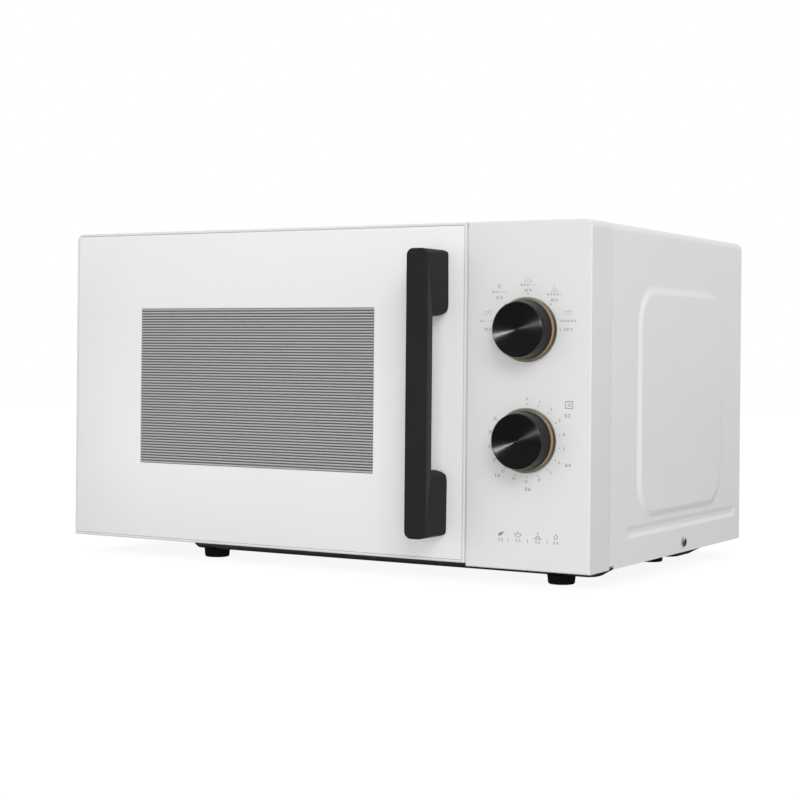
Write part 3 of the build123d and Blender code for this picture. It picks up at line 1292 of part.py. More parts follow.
def roller_ring():
    """Carrier ring with three axles, each with a stop at its end."""
    section = area(about(RING_MIDDLE_RADIUS, RING_SECTION), about(0, RING_SECTION))
    ring = Pos(TABLE_X, TABLE_Y, WHEEL_Z) * turned(section)
    stop_start = WHEEL_OUTER + LOOSE
    for spoke in spokes():
        axle = along_z(Circle(AXLE_RADIUS), RING_MIDDLE_RADIUS, stop_start)
        stop = along_z(Circle(AXLE_STOP_RADIUS), stop_start, AXLE_END)
        ring += spoke * (axle + stop)
    return ring


def roller_wheel(spoke):
    face = Circle(WHEEL_RADIUS) - Circle(AXLE_RADIUS + RUNNING)
    return spoke * extrude(Plane.XY.offset(WHEEL_INNER) * face, WHEEL_WIDTH)


def pieces():
    """Every piece of the oven by name."""
    made = {
        "cabinet_wrap": cabinet_wrap(),
        "rear_panel": rear_panel(),
        "base_plate": base_plate(),
        "feet": feet(),
        "case_screws": case_screws(),
        "cord_gland": cord_gland(),
        "front_plate": front_plate(),
        "cavity_floor": cavity_floor(),
        "cavity_top": cavity_top(),
        "cavity_left_wall": cavity_left_wall(),
        "cavity_right_wall": cavity_right_wall(),
        "cavity_rear_wall": cavity_rear_wall(),
        "waveguide": waveguide(),
        "waveguide_cover": waveguide_cover(),
        "magnetron": magnetron(),
        "magnetron_fins": magnetron_fins(),
        "lamp_holder": lamp_holder(),
        "lamp_bulb": lamp_bulb(),
        "transformer_core": transformer_core(),
        "transformer_coils": transformer_coils(),
        "capacitor": capacitor(),
        "capacitor_clamp": capacitor_clamp(),
        "hv_diode": hv_diode(),
        "filter_board": filter_board(),
        "thermal_cutout": thermal_cutout(),
        "fan_bracket": fan_bracket(),
        "fan_motor": fan_motor(),
        "fan_blade": fan_blade(),
        "control_panel": control_panel(),
        "timer_unit": timer_unit(),
        "interlock_board": interlock_board(),
        "interlock_switches": interlock_switches(),
        "door_frame": door_frame(),
        "door_glass": door_glass(),
        "door_screen": door_screen(),
        "choke_panel": choke_panel(),
        "choke_cover": choke_cover(),
        "inner_film": inner_film(),
        "handle": handle(),
        "handle_screws": handle_screws(),
        "latch_slider": latch_slider(),
        "latch_spring": latch_spring(),
        "turntable_plate": turntable_plate(),
        "turntable_coupler": turntable_coupler(),
        "turntable_motor": turntable_motor(),
        "roller_ring": roller_ring(),
    }
    for index, spoke in enumerate(spokes(), start=1):
        made[f"roller_wheel_{index}"] = roller_wheel(spoke)
    for name, (slot, direction) in hinge_slots().items():
        made[f"{name}_hinge"] = hinge_bracket(slot, direction)
    for name, height in DIAL_HEIGHTS.items():
        made[f"{name}_knob"] = dial_knob(height)
        made[f"{name}_cap"] = dial_cap(height)
        made[f"{name}_ring"] = dial_ring(height)
        made[f"{name}_shaft"] = dial_shaft(height)
    return made


def main():
    os.makedirs("parts", exist_ok=True)
    for name, shape in pieces().items():
        solid = Compound(children=list(shape)) if isinstance(shape, list) else shape
        export_step(solid, f"parts/{name}.step")


if __name__ == "__main__":
    main()
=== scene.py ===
# %% [markdown]
# # A countertop microwave oven, dressed for its picture
#
# The construction is already there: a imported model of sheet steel, mouldings and glass, each piece at its
# real size and place. This lesson gives every piece the finish of its real material, models the fine things
# that the construction leaves out, such as print, stripes and perforation, and sets up the light and the
# camera.

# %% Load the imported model
import math

import bpy
from mathutils import Euler, Matrix, Vector


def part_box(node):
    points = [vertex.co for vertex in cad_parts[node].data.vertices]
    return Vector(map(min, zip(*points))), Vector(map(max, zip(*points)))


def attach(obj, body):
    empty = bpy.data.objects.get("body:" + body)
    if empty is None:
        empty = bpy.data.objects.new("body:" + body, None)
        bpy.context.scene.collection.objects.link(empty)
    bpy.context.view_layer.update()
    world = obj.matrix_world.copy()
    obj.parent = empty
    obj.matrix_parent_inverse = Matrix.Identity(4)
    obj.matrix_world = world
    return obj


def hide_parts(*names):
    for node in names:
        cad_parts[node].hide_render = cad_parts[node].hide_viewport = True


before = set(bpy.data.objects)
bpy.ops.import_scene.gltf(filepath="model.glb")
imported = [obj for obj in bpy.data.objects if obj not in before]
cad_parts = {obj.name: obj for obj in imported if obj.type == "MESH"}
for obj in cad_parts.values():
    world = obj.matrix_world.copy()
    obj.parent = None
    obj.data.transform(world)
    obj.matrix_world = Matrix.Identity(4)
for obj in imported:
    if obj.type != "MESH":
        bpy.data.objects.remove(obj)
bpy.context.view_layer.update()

MM = 0.001
DIALS = ("power", "timer")
SCENE = bpy.context.scene
SCENE.view_settings.view_transform = "Standard"

# %% [markdown]
# ## Camera
#
# The photographer stood to the right of the oven, at the height of the upper knob, with a long lens. The
# upright edges stay upright, so the camera was level and its lens was shifted down to bring the oven into the
# frame. The corners of the casing and the knobs' centres gave its place: they are known in the frame, so one
# camera explains them all. The small roll is the photograph's own tilt.

# %% Stand the camera where the photographer stood
CAMERA_PLACE = Vector((703.7, -1223.7, 159.9)) * MM
CAMERA_YAW = math.radians(30.011)
CAMERA_ROLL = math.radians(0.539)
CAMERA_LENS = 80.56
CAMERA_SHIFT = -0.0597

aim = Euler((math.pi / 2, 0, CAMERA_YAW)).to_matrix()
roll = Matrix.Rotation(CAMERA_ROLL, 3, "Z")
bpy.ops.object.camera_add()
camera = bpy.context.object
camera.data.lens = CAMERA_LENS
camera.data.shift_y = CAMERA_SHIFT
camera.matrix_world = Matrix.Translation(CAMERA_PLACE) @ (aim @ roll).to_4x4()
SCENE.camera = camera
print("camera", [round(value, 3) for value in camera.location])

# %% [markdown]
# ## Nodes and colours
#
# Every material and the studio are node trees. One small function adds a node, sets what it is told to set
# and links or fills its inputs, so a whole tree reads as a short list. Colours are written as sRGB hex
# values, as a designer would pick them, and one function turns them to the linear values that the shaders
# want. All materials are closed in the same way: one pattern blends two tones, one spreads the gloss over a
# range, and one gives relief.

# %% Helpers for node trees


def srgb(code):
    """Linear colour with alpha from an sRGB hex value."""
    channels = [int(code[start:start + 2], 16) / 255 for start in (0, 2, 4)]
    linear = [value / 12.92 if value <= 0.04045 else ((value + 0.055) / 1.055) ** 2.4 for value in channels]
    return (*linear, 1.0)


def add_node(tree, kind, inputs=None, **settings):
    """Add a shader node, set its properties, then link or fill its inputs.

    A node that is given as an input stands for its first output.
    """
    made = tree.nodes.new("ShaderNode" + kind)
    for name, value in settings.items():
        setattr(made, name, value)
    for name, value in (inputs or {}).items():
        if isinstance(value, bpy.types.Node):
            value = value.outputs[0]
        if isinstance(value, bpy.types.NodeSocket):
            tree.links.new(value, made.inputs[name])
        else:
            made.inputs[name].default_value = value
    return made


def empty_tree(holder):
    """Node tree of a material or a world, with nothing in it yet."""
    holder.use_nodes = True
    holder.node_tree.nodes.clear()
    return holder.node_tree


def new_material(name):
    """An empty material, its tree, and the Object coordinates that its patterns read."""
    material = bpy.data.materials.new(name)
    tree = empty_tree(material)
    return material, tree, add_node(tree, "TexCoord").outputs["Object"]


def finish(material, tone, gloss, relief=None, shader=None):
    """Close a material with its shader and output.

    The tone is one colour, or a pattern and the two colours that it blends. The gloss is one roughness, or a
    pattern and the two ends of its range. The relief is a pattern, a strength, a depth and perhaps a
    normal to start from.
    """
    tree = material.node_tree
    inputs = {"Base Color": tone, "Roughness": gloss, **(shader or {})}
    if isinstance(tone, str):
        inputs["Base Color"] = srgb(tone)
    if isinstance(tone, tuple):
        pattern, dark, light = tone
        inputs["Base Color"] = add_node(tree, "MixRGB", {"Fac": pattern, "Color1": srgb(dark),
                                                         "Color2": srgb(light)})
    if isinstance(gloss, tuple):
        pattern, low, high = gloss
        inputs["Roughness"] = add_node(tree, "MapRange", {"Value": pattern, "To Min": low, "To Max": high})
    if relief:
        heights = dict(zip(("Height", "Strength", "Distance", "Normal"), relief))
        inputs["Normal"] = add_node(tree, "Bump", heights)
    surface = add_node(tree, "BsdfPrincipled", inputs)
    add_node(tree, "OutputMaterial", {"Surface": surface})
    print("material", material.name, "with", len(tree.nodes), "nodes")
    return material


# %% [markdown]
# ## Studio
#
# The oven stands in a white sweep, lit mostly from above by the room. A wide lamp from the upper right throws
# the knobs' soft shadows, and the others fill in from the front, the sides and the back. A narrow strip draws
# the bright wedge on the knobs' spun faces. It is as bright as a lamp must be to show in dark metal, so it is
# linked to the two faces alone. The white behind the oven belongs to what the camera, mirrors and glass see,
# and adds no light to the object; behind the camera the studio is dim, so polished faces have something dark
# to reflect. The floor is told apart by kind of ray too: nearly white to the camera, with a share of real
# shading so that the shadow under the oven stays, an even glow as a light, and dark in mirrors.

# %% Build the room and the floor
HORIZON_LIGHT = 0.40
ZENITH_LIGHT = 0.77
DIM_SIDE = 0.12
DIM_FROM = -0.4
DIM_TO = 0.1
FLOOR_SPAN = 12.0
FLOOR_GLOW = 1.06
GLOW_SEEN = 0.86
FLOOR_LIGHT = 0.54
WHITE = srgb("FFFFFF")


def mirror_ray(tree, path):
    """1 for rays off a mirror or through glass, 0 for the others."""
    return add_node(tree, "Math", {0: path["Is Glossy Ray"], 1: path["Is Transmission Ray"]},
                    operation="MAXIMUM")


def build_room():
    """World that is white to look at, brighter overhead as a light and dim behind the camera to mirrors."""
    SCENE.world = bpy.data.worlds.new("studio")
    tree = empty_tree(SCENE.world)
    path = add_node(tree, "LightPath").outputs
    direction = add_node(tree, "TexCoord").outputs["Generated"]
    parts = add_node(tree, "SeparateXYZ", {"Vector": direction}).outputs
    gathered = add_node(tree, "MapRange", {"Value": parts["Z"], "To Min": HORIZON_LIGHT,
                                           "To Max": ZENITH_LIGHT})
    mirrored = add_node(tree, "MapRange", {"Value": parts["Y"], "From Min": DIM_FROM, "From Max": DIM_TO,
                                           "To Min": DIM_SIDE})
    strength = add_node(tree, "Mix", {"Factor": mirror_ray(tree, path), "A": gathered, "B": mirrored})
    white = add_node(tree, "Math", {0: strength, 1: path["Is Camera Ray"]}, operation="MAXIMUM")
    glow = add_node(tree, "Background", {"Color": WHITE, "Strength": white})
    add_node(tree, "OutputWorld", {"Surface": glow})


def build_floor():
    """White floor at the height of the feet, with its own tone and glow for each kind of ray."""
    bpy.ops.mesh.primitive_plane_add(size=FLOOR_SPAN)
    floor = bpy.context.object
    floor.name = "floor"
    material = bpy.data.materials.new("white_sweep")
    tree = empty_tree(material)
    path = add_node(tree, "LightPath").outputs
    seen = path["Is Camera Ray"]
    tone = add_node(tree, "MixRGB", {"Fac": seen, "Color1": srgb("484848"), "Color2": srgb("F4F4F4")})
    matt = add_node(tree, "BsdfDiffuse", {"Color": tone})
    power = add_node(tree, "Mix", {"Factor": seen, "A": FLOOR_LIGHT, "B": FLOOR_GLOW})
    glow = add_node(tree, "Emission", {"Color": WHITE, "Strength": power})
    given = add_node(tree, "Math", {0: 1.0, 1: mirror_ray(tree, path)}, operation="SUBTRACT")
    share = add_node(tree, "Mix", {"Factor": seen, "A": given, "B": GLOW_SEEN})
    mixed = add_node(tree, "MixShader", {0: share, 1: matt, 2: glow})
    add_node(tree, "OutputMaterial", {"Surface": mixed})
    floor.data.materials.append(material)


build_room()
build_floor()
print("room light", HORIZON_LIGHT, "to", ZENITH_LIGHT, "and a floor that glows", GLOW_SEEN)

# %% Hang the lamps
AIM_POINT = Vector((0, 0, 130)) * MM
# Place, width and height in metres, and power in watts.
LAMPS = {
    "upper_box": ((2.2, -2.75, 2.2), 1.8, 1.8, 52.0),
    "front_box": ((1.0, -2.2, 0.25), 1.0, 0.4, 14.0),
    "left_front_box": ((-1.6, -2.2, 0.35), 1.2, 1.2, 6.3),
    "right_box": ((2.6, 0.3, 0.3), 1.6, 1.2, 4.0),
    "left_box": ((-2.6, 0.3, 0.6), 1.6, 1.2, 9.0),
    "rear_box": ((-0.6, 3.2, 1.4), 1.6, 1.2, 18.0),
    "wedge_strip": ((0.40, -3.6, 0.68), 0.5, 0.1, 25.0),
}


def soft_box(name, place, width, height, power):
    """Lamp that looks at the middle of the oven and doesn't show in mirrors."""
    bpy.ops.object.light_add(type="AREA", location=place)
    lamp = bpy.context.object
    lamp.name = name
    lamp.data.shape = "RECTANGLE"
    lamp.data.size = width
    lamp.data.size_y = height
    lamp.data.energy = power
    lamp.visible_glossy = False
    lamp.rotation_euler = (AIM_POINT - Vector(place)).to_track_quat("-Z", "Y").to_euler()
    print(name, "at", place, power, "W")
    return lamp


lamps = {name: soft_box(name, *values) for name, values in LAMPS.items()}
spun_faces = bpy.data.collections.new("spun_faces")
for dial in DIALS:
    spun_faces.objects.link(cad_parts[dial + "_cap"])
lamps["wedge_strip"].visible_glossy = True
lamps["wedge_strip"].light_linking.receiver_collection = spun_faces

# %% [markdown]
# ## White finishes
#
# Three whites meet on the front and they are not the same. The casing is powder coat baked on steel, with a
# faint orange peel. The control panel and the door's rim are moulded ABS with a fine spark-eroded grain. The
# door's face is glass painted on its back, so it is flat and glossy with a cool depth. Each gets its own
# tree: a noise for the grain drives both bump and roughness, and a slow one keeps the colour from being one
# flat tone.

# %% Powder coat, moulded plastic and back-painted glass
MOULD_ROUND = 0.8 * MM
GLOSS_SPREAD = 0.06


def powder_coat():
    """Polyester powder baked on steel: semi-gloss, with an orange peel about 1.5 mm across."""
    material, tree, place = new_material("powder_coat_on_steel")
    peel = add_node(tree, "TexNoise", {"Vector": place, "Scale": 1 / (1.5 * MM), "Detail": 1.0})
    cloud = add_node(tree, "TexNoise", {"Vector": place, "Scale": 1 / (70 * MM), "Detail": 2.0})
    return finish(material, tone=(cloud, "E4E4E4", "E8E8E8"), gloss=(peel, 0.34, 0.46),
                  relief=(peel, 0.3, 0.03 * MM), shader={"IOR": 1.5, "Specular IOR Level": 0.3})


def moulded_plastic(name, dark, light, grain, depth, roughness, shine):
    """Injection moulding from a spark-eroded tool: an even grain, with its size and depth in mm."""
    material, tree, place = new_material(name)
    spark = add_node(tree, "TexNoise", {"Vector": place, "Scale": 1 / (grain * MM), "Detail": 2.0})
    flow = add_node(tree, "TexNoise", {"Vector": place, "Scale": 1 / (45 * MM), "Detail": 2.0})
    edge = add_node(tree, "Bevel", {"Radius": MOULD_ROUND})
    return finish(material, tone=(flow, dark, light),
                  gloss=(spark, roughness - GLOSS_SPREAD, roughness + GLOSS_SPREAD),
                  relief=(spark, 0.35, depth * MM, edge),
                  shader={"IOR": 1.53, "Specular IOR Level": shine})


def painted_glass():
    """Toughened glass, white paint fired on its back: glossy, with the faint roller wave of toughening."""
    material, tree, place = new_material("back_painted_glass")
    wave = add_node(tree, "TexWave", {"Vector": place, "Scale": 1 / (77 * MM),
                                      "Distortion": 1.5, "Detail": 1.0}, bands_direction="Z")
    cloud = add_node(tree, "TexNoise", {"Vector": place, "Scale": 1 / (120 * MM), "Detail": 1.0})
    return finish(material, tone=(cloud, "E9E9E9", "EDEDED"), gloss=0.06,
                  relief=(wave.outputs["Fac"], 0.05, 0.02 * MM), shader={"IOR": 1.52})


POWDER = powder_coat()
WHITE_ABS = moulded_plastic("white_moulded_abs", "DFDFDF", "E3E3E3", grain=0.6, depth=0.012,
                            roughness=0.40, shine=0.5)
DOOR_WHITE = painted_glass()

# %% [markdown]
# ## Dark finishes
#
# The handle is satin black plastic with a slightly coarser grain, so that a hand gets hold of it. The feet
# are rubber, almost without gloss. The knobs' sides are the same black plastic, a little smoother.

# %% Black plastics and rubber
HANDLE_BLACK = moulded_plastic("satin_black_abs", "262626", "2B2B2B", grain=0.7, depth=0.02,
                               roughness=0.52, shine=0.05)
# The cheeks' black is a lighter copy of the handle's: painted light on the sides of the bar.
CHEEK_BLACK_PAINTED_LIT = moulded_plastic("smooth_black_abs_painted_lit", "2B2B2B", "303030", grain=0.7, depth=0.012,
                              roughness=0.48, shine=0.10)
KNOB_BLACK = moulded_plastic("black_knob_abs", "1B1A1A", "201F1F", grain=0.6, depth=0.01,
                             roughness=0.30, shine=0.12)
SWITCH_BLACK = moulded_plastic("black_nylon", "1C1C1D", "232324", grain=0.9, depth=0.02,
                               roughness=0.5, shine=0.5)
RUBBER = moulded_plastic("foot_rubber", "0C0C0C", "121211", grain=1.2, depth=0.04, roughness=0.78, shine=0.2)

# %% [markdown]
# ## Metals
#
# The base and back are galvanised sheet, which has grey zinc flakes called spangle: bright under the oven,
# where it was kept clean, and dull on the back and on the parts inside. Screws and shafts are bright
# zinc-plated steel. The transformer's core is a stack of steel sheets, so its sides show fine bands. The fins
# and the capacitor can are rolled aluminium, drawn out along the roll. A metal keeps the default IOR, and its
# colour is what its mirror image is tinted with.

# %% Galvanised, plated, laminated and rolled metal
# At scale 1 the bands of a wave texture repeat every pi / 10.
WAVE_TURN = math.pi / 10


def galvanised_sheet(name, dark, light, metal):
    """Hot-dip zinc on steel: flakes about 4 mm across, each with its own grey. Dull zinc is less metallic."""
    material, tree, place = new_material(name)
    spangle = add_node(tree, "TexVoronoi", {"Vector": place, "Scale": 1 / (4 * MM)})
    flake = add_node(tree, "SeparateColor", {"Color": spangle.outputs["Color"]}).outputs
    fine = add_node(tree, "TexNoise", {"Vector": place, "Scale": 1 / (0.8 * MM), "Detail": 3.0})
    return finish(material, tone=(flake["Red"], dark, light), gloss=(flake["Green"], 0.44, 0.54),
                  relief=(fine, 0.2, 0.02 * MM), shader={"Metallic": metal})


def plated_steel():
    """Bright zinc on turned steel: cool, fairly sharp, with slight clouding."""
    material, tree, place = new_material("zinc_plated_steel")
    cloud = add_node(tree, "TexNoise", {"Vector": place, "Scale": 1 / (2.5 * MM), "Detail": 3.0})
    return finish(material, tone=(cloud, "B3B5B8", "D2D3D4"), gloss=(cloud, 0.22, 0.38),
                  shader={"Metallic": 1.0})


def stacked_sheets():
    """Core of varnished steel sheets: 0.5 mm thick, drawn as 1.6 mm bands so that they show."""
    material, tree, place = new_material("laminated_core_steel")
    band = add_node(tree, "TexWave", {"Vector": place, "Scale": WAVE_TURN / (1.6 * MM), "Distortion": 0.4},
                    bands_direction="X", wave_profile="SAW").outputs["Fac"]
    return finish(material, tone=(band, "4B4A49", "858583"), gloss=0.45, relief=(band, 0.5, 0.1 * MM),
                  shader={"Metallic": 0.8})


def rolled_aluminium():
    """Mill-finish aluminium: pale, with rolling lines that run along Y."""
    material, tree, place = new_material("rolled_aluminium")
    drawn = (1 / (0.5 * MM), 1 / (30 * MM), 1 / (0.5 * MM))
    lines = add_node(tree, "Mapping", {"Vector": place, "Scale": drawn})
    streak = add_node(tree, "TexNoise", {"Vector": lines, "Scale": 1.0, "Detail": 3.0})
    return finish(material, tone=(streak, "BFC1C2", "DDDEDF"), gloss=(streak, 0.28, 0.45),
                  shader={"Metallic": 1.0})


GALVANISED = galvanised_sheet("dull_galvanised_sheet", "B0B2B3", "BCBEBF", metal=0.45)
BRIGHT_ZINC = galvanised_sheet("bright_galvanised_sheet", "A8AAAC", "BABCBD", metal=1.0)
PLATED = plated_steel()
LAMINATED = stacked_sheets()
ALUMINIUM = rolled_aluminium()

# %% [markdown]
# ## Inside the oven
#
# The cavity is steel with a speckled grey enamel that hides splashes. The waveguide cover is a sheet of
# pressed mica flakes. The plate and the bulb are clear glass, and the door's inner film is clear plastic. The
# wheels, the coupler and the fan are cream nylon, the coils are varnished copper wire, and the filter sits on
# a green board.

# %% Enamel, mica, glass, film, windings and board


def cavity_enamel():
    """Grey enamel with darker specks about 1 mm across, 3 mm apart."""
    material, tree, place = new_material("speckled_cavity_enamel")
    speck = add_node(tree, "TexVoronoi", {"Vector": place, "Scale": 1 / (3 * MM)})
    mask = add_node(tree, "MapRange", {"Value": speck, "From Min": 0.14, "From Max": 0.20})
    peel = add_node(tree, "TexNoise", {"Vector": place, "Scale": 1 / (2 * MM), "Detail": 1.0})
    return finish(material, tone=(mask, "77787A", "C4C4C1"), gloss=(peel, 0.26, 0.38),
                  relief=(peel, 0.3, 0.03 * MM), shader={"IOR": 1.52})


def pressed_mica():
    """Flakes of mica pressed to a sheet: warm grey scales with a slight sheen."""
    material, tree, place = new_material("pressed_mica")
    scales = add_node(tree, "TexVoronoi", {"Vector": place, "Scale": 1 / (2.5 * MM)})
    flake = add_node(tree, "SeparateColor", {"Color": scales.outputs["Color"]}).outputs
    return finish(material, tone=(flake["Red"], "A99C86", "CDC4B2"), gloss=(flake["Green"], 0.25, 0.6),
                  shader={"IOR": 1.58})


def clear_glass():
    """Pressed soda-lime glass: clear, faintly green, with the soft ripple of the mould."""
    material, tree, place = new_material("pressed_clear_glass")
    ripple = add_node(tree, "TexNoise", {"Vector": place, "Scale": 1 / (12 * MM), "Detail": 1.0})
    return finish(material, tone="F1F7F4", gloss=0.02, relief=(ripple, 0.1, 0.1 * MM),
                  shader={"IOR": 1.5, "Transmission Weight": 1.0})


def clear_film():
    """Polyester film: see-through, with a gloss that shows it is there."""
    material, tree, place = new_material("polyester_film")
    haze = add_node(tree, "TexNoise", {"Vector": place, "Scale": 1 / (25 * MM), "Detail": 2.0})
    return finish(material, tone="BFC2C4", gloss=(haze, 0.05, 0.14), shader={"IOR": 1.57, "Alpha": 0.22})


def copper_winding():
    """Varnished copper wire wound side by side: turns 1 mm apart, drawn at 1.6 mm so that they show."""
    material, tree, place = new_material("varnished_copper_winding")
    wire = add_node(tree, "TexWave", {"Vector": place, "Scale": WAVE_TURN / (1.6 * MM)},
                    bands_direction="Z").outputs["Fac"]
    return finish(material, tone=(wire, "5E2E17", "B06A3C"), gloss=0.3, relief=(wire, 0.8, 0.3 * MM),
                  shader={"Metallic": 0.7})


def circuit_board():
    """Glass-fibre board with a green mask over its copper tracks."""
    material, tree, place = new_material("green_circuit_board")
    tracks = add_node(tree, "TexVoronoi", {"Vector": place, "Scale": 1 / (6 * MM)},
                      distance="MANHATTAN")
    lines = add_node(tree, "MapRange", {"Value": tracks, "From Min": 0.42, "From Max": 0.48})
    return finish(material, tone=(lines, "1D5A38", "3A8455"), gloss=0.32, shader={"IOR": 1.5})


ENAMEL = cavity_enamel()
MICA = pressed_mica()
GLASS = clear_glass()
FILM = clear_film()
COPPER = copper_winding()
BOARD = circuit_board()
CREAM_NYLON = moulded_plastic("cream_nylon", "D8D0BC", "E2DBC9", grain=0.8, depth=0.01,
                              roughness=0.45, shine=0.5)
GREY_ABS = moulded_plastic("grey_cover_abs", "B7B9BA", "C2C4C5", grain=0.7, depth=0.012,
                           roughness=0.42, shine=0.5)

# %% Dress the construction
STEEL_SHEET = ("rear_panel", "waveguide", "magnetron", "capacitor_clamp", "choke_panel",
               "turntable_motor", "upper_hinge", "lower_hinge")
CAVITY = ("front_plate", "cavity_floor", "cavity_top", "cavity_left_wall", "cavity_right_wall",
          "cavity_rear_wall")
FASTENERS = ("case_screws", "handle_screws", "fan_motor", "latch_spring", "power_shaft", "timer_shaft")
CREAM = ("lamp_holder", "fan_bracket", "fan_blade", "timer_unit", "interlock_board", "latch_slider",
         "turntable_coupler", "roller_ring", "roller_wheel_1", "roller_wheel_2", "roller_wheel_3")


def dress(material, *names):
    """Give CAD nodes their finish."""
    for name in names:
        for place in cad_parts[name].material_slots:
            place.material = material
    print(material.name, "on", len(names), "nodes")


dress(POWDER, "cabinet_wrap")
dress(WHITE_ABS, "control_panel", "door_frame")
dress(HANDLE_BLACK, "handle")
dress(KNOB_BLACK, "power_knob", "timer_knob")
dress(SWITCH_BLACK, "cord_gland", "hv_diode", "interlock_switches")
dress(RUBBER, "feet")
dress(GALVANISED, *STEEL_SHEET)
dress(BRIGHT_ZINC, "base_plate")
dress(PLATED, *FASTENERS)
dress(LAMINATED, "transformer_core")
dress(ALUMINIUM, "magnetron_fins", "capacitor", "thermal_cutout")
dress(ENAMEL, *CAVITY)
dress(MICA, "waveguide_cover")
dress(GLASS, "turntable_plate", "lamp_bulb")
dress(FILM, "inner_film")
dress(COPPER, "transformer_coils")
dress(BOARD, "filter_board")
dress(CREAM_NYLON, *CREAM)
dress(GREY_ABS, "choke_cover")

# %% [markdown]
# ## Modelling helpers
#
# New pieces are made as by hand: a blank is added at its size and place, then shaped in edit mode. Operators
# act on whatever is selected, so each helper first clears the selection and then picks faces or edges by
# where they are, which keeps every step repeatable.

# %% Blanks, picking and handing over
UPRIGHT = (math.pi / 2, 0, 0)
FACING = 0.9
EDGE_STEPS = 2
SMOOTH_ANGLE = math.radians(35)


def clear_selection():
    """Nothing selected, so that the next operator touches only what comes next."""
    bpy.ops.object.select_all(action="DESELECT")


def blank(low, high):
    """A box between two corners, with its place in its mesh."""
    clear_selection()
    bpy.ops.mesh.primitive_cube_add(size=1, location=(low + high) / 2, scale=high - low)
    bpy.ops.object.transform_apply()
    return bpy.context.object


def select_whole():
    """Enter edit mode with the whole mesh selected."""
    bpy.ops.object.mode_set(mode="EDIT")
    bpy.ops.mesh.select_all(action="SELECT")


def start_picking(kind):
    """Clear what is selected in the mesh and set which kind of element is picked next."""
    bpy.ops.object.mode_set(mode="EDIT")
    bpy.ops.mesh.select_mode(type=kind)
    bpy.ops.mesh.select_all(action="DESELECT")
    bpy.ops.object.mode_set(mode="OBJECT")


def pick_faces(piece, wanted):
    """Enter edit mode with just the wanted faces selected."""
    start_picking("FACE")
    for face in piece.data.polygons:
        face.select = wanted(face)
    bpy.ops.object.mode_set(mode="EDIT")


def pick_edges(piece, wanted):
    """Enter edit mode with just the wanted edges selected, judged by their two ends."""
    start_picking("EDGE")
    points = piece.data.vertices
    for edge in piece.data.edges:
        first, second = (points[index].co for index in edge.vertices)
        edge.select = wanted(first, second)
    bpy.ops.object.mode_set(mode="EDIT")


def bridge_through():
    """Delete the picked faces, front and back, and close the hole's wall."""
    bpy.ops.mesh.delete(type="FACE")
    bpy.ops.mesh.select_mode(type="EDGE")
    bpy.ops.mesh.select_non_manifold()
    bpy.ops.mesh.bridge_edge_loops()


def apply_modifier(piece, kind, **settings):
    """Add a modifier, set it and apply it."""
    step = piece.modifiers.new("step", kind)
    for name, value in settings.items():
        setattr(step, name, value)
    bpy.ops.object.modifier_apply(modifier=step.name)


def repeat(piece, count, step):
    """Repeat a piece a number of times, each a step further."""
    apply_modifier(piece, "ARRAY", count=count, use_relative_offset=False, use_constant_offset=True,
                   constant_offset_displace=step)


def soften(piece, width):
    """Round the sharp edges a little, because no real edge is perfectly sharp."""
    bpy.ops.object.mode_set(mode="OBJECT")
    apply_modifier(piece, "BEVEL", width=width, segments=EDGE_STEPS, limit_method="ANGLE")
    bpy.ops.object.shade_smooth_by_angle(angle=SMOOTH_ANGLE)


def join_pieces(pieces):
    """One piece from several."""
    clear_selection()
    for piece in pieces:
        piece.select_set(True)
    bpy.context.view_layer.objects.active = pieces[0]
    bpy.ops.object.join()
    return bpy.context.object


def plain_rim(low, high, width):
    """Flat frame round a rectangle: a plate whose middle is inset and removed."""
    rim = blank(low, high)
    pick_faces(rim, lambda face: abs(face.normal.y) > FACING)
    bpy.ops.mesh.inset(thickness=width, use_boundary=True)
    bridge_through()
    bpy.ops.object.mode_set(mode="OBJECT")
    return rim


def hand_over(piece, name, material, body):
    """Name a finished piece, paint it and let it ride on its body."""
    piece.name = name
    piece.data.name = name
    piece.data.materials.clear()
    piece.data.materials.append(material)
    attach(piece, body)
    print(name, "has", len(piece.data.polygons), "faces and rides on", body)


# %% [markdown]
# ## Door face
#
# The door's front is one sheet of glass. Most of it is painted white on the back, and the rectangle in the
# middle is left clear. One sheet could carry both as a painted mask, but two meshes keep the clear part truly
# see-through: a white plate with a hole, cut with four bisections and bridged through, and a pane in the
# hole.

# %% Cut the white plate
WINDOW_MARGIN = 14 * MM
CORNER_ROUND = 2.9 * MM
CORNER_STEPS = 6
CORNER_NEAR = 0.1 * MM
GLASS_EDGE = 0.2 * MM

glass_low, glass_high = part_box("door_glass")
screen_low, screen_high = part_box("door_screen")
window_low = Vector((screen_low.x + WINDOW_MARGIN, glass_low.y, screen_low.z + WINDOW_MARGIN))
window_high = Vector((screen_high.x - WINDOW_MARGIN, glass_high.y, screen_high.z - WINDOW_MARGIN))


def in_window(place):
    """True inside the window's outline, seen from the front."""
    return window_low.x < place.x < window_high.x and window_low.z < place.z < window_high.z


def at_outer_corner(first, second):
    """True for the edge through the plate's thickness at its upper left corner."""
    corner = Vector((glass_low.x, 0, glass_high.z))
    return all((Vector((end.x, 0, end.z)) - corner).length < CORNER_NEAR for end in (first, second))


door_panel = blank(glass_low, glass_high)
bpy.ops.object.mode_set(mode="EDIT")
for corner in (window_low, window_high):
    for direction in ((1, 0, 0), (0, 0, 1)):
        bpy.ops.mesh.select_all(action="SELECT")
        bpy.ops.mesh.bisect(plane_co=corner, plane_no=direction)
pick_faces(door_panel, lambda face: abs(face.normal.y) > FACING and in_window(face.center))
bridge_through()
pick_edges(door_panel, at_outer_corner)
bpy.ops.mesh.bevel(offset=CORNER_ROUND, segments=CORNER_STEPS, affect="EDGES")
soften(door_panel, GLASS_EDGE)
hand_over(door_panel, "door_face_plate", DOOR_WHITE, "door")
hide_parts("door_glass")

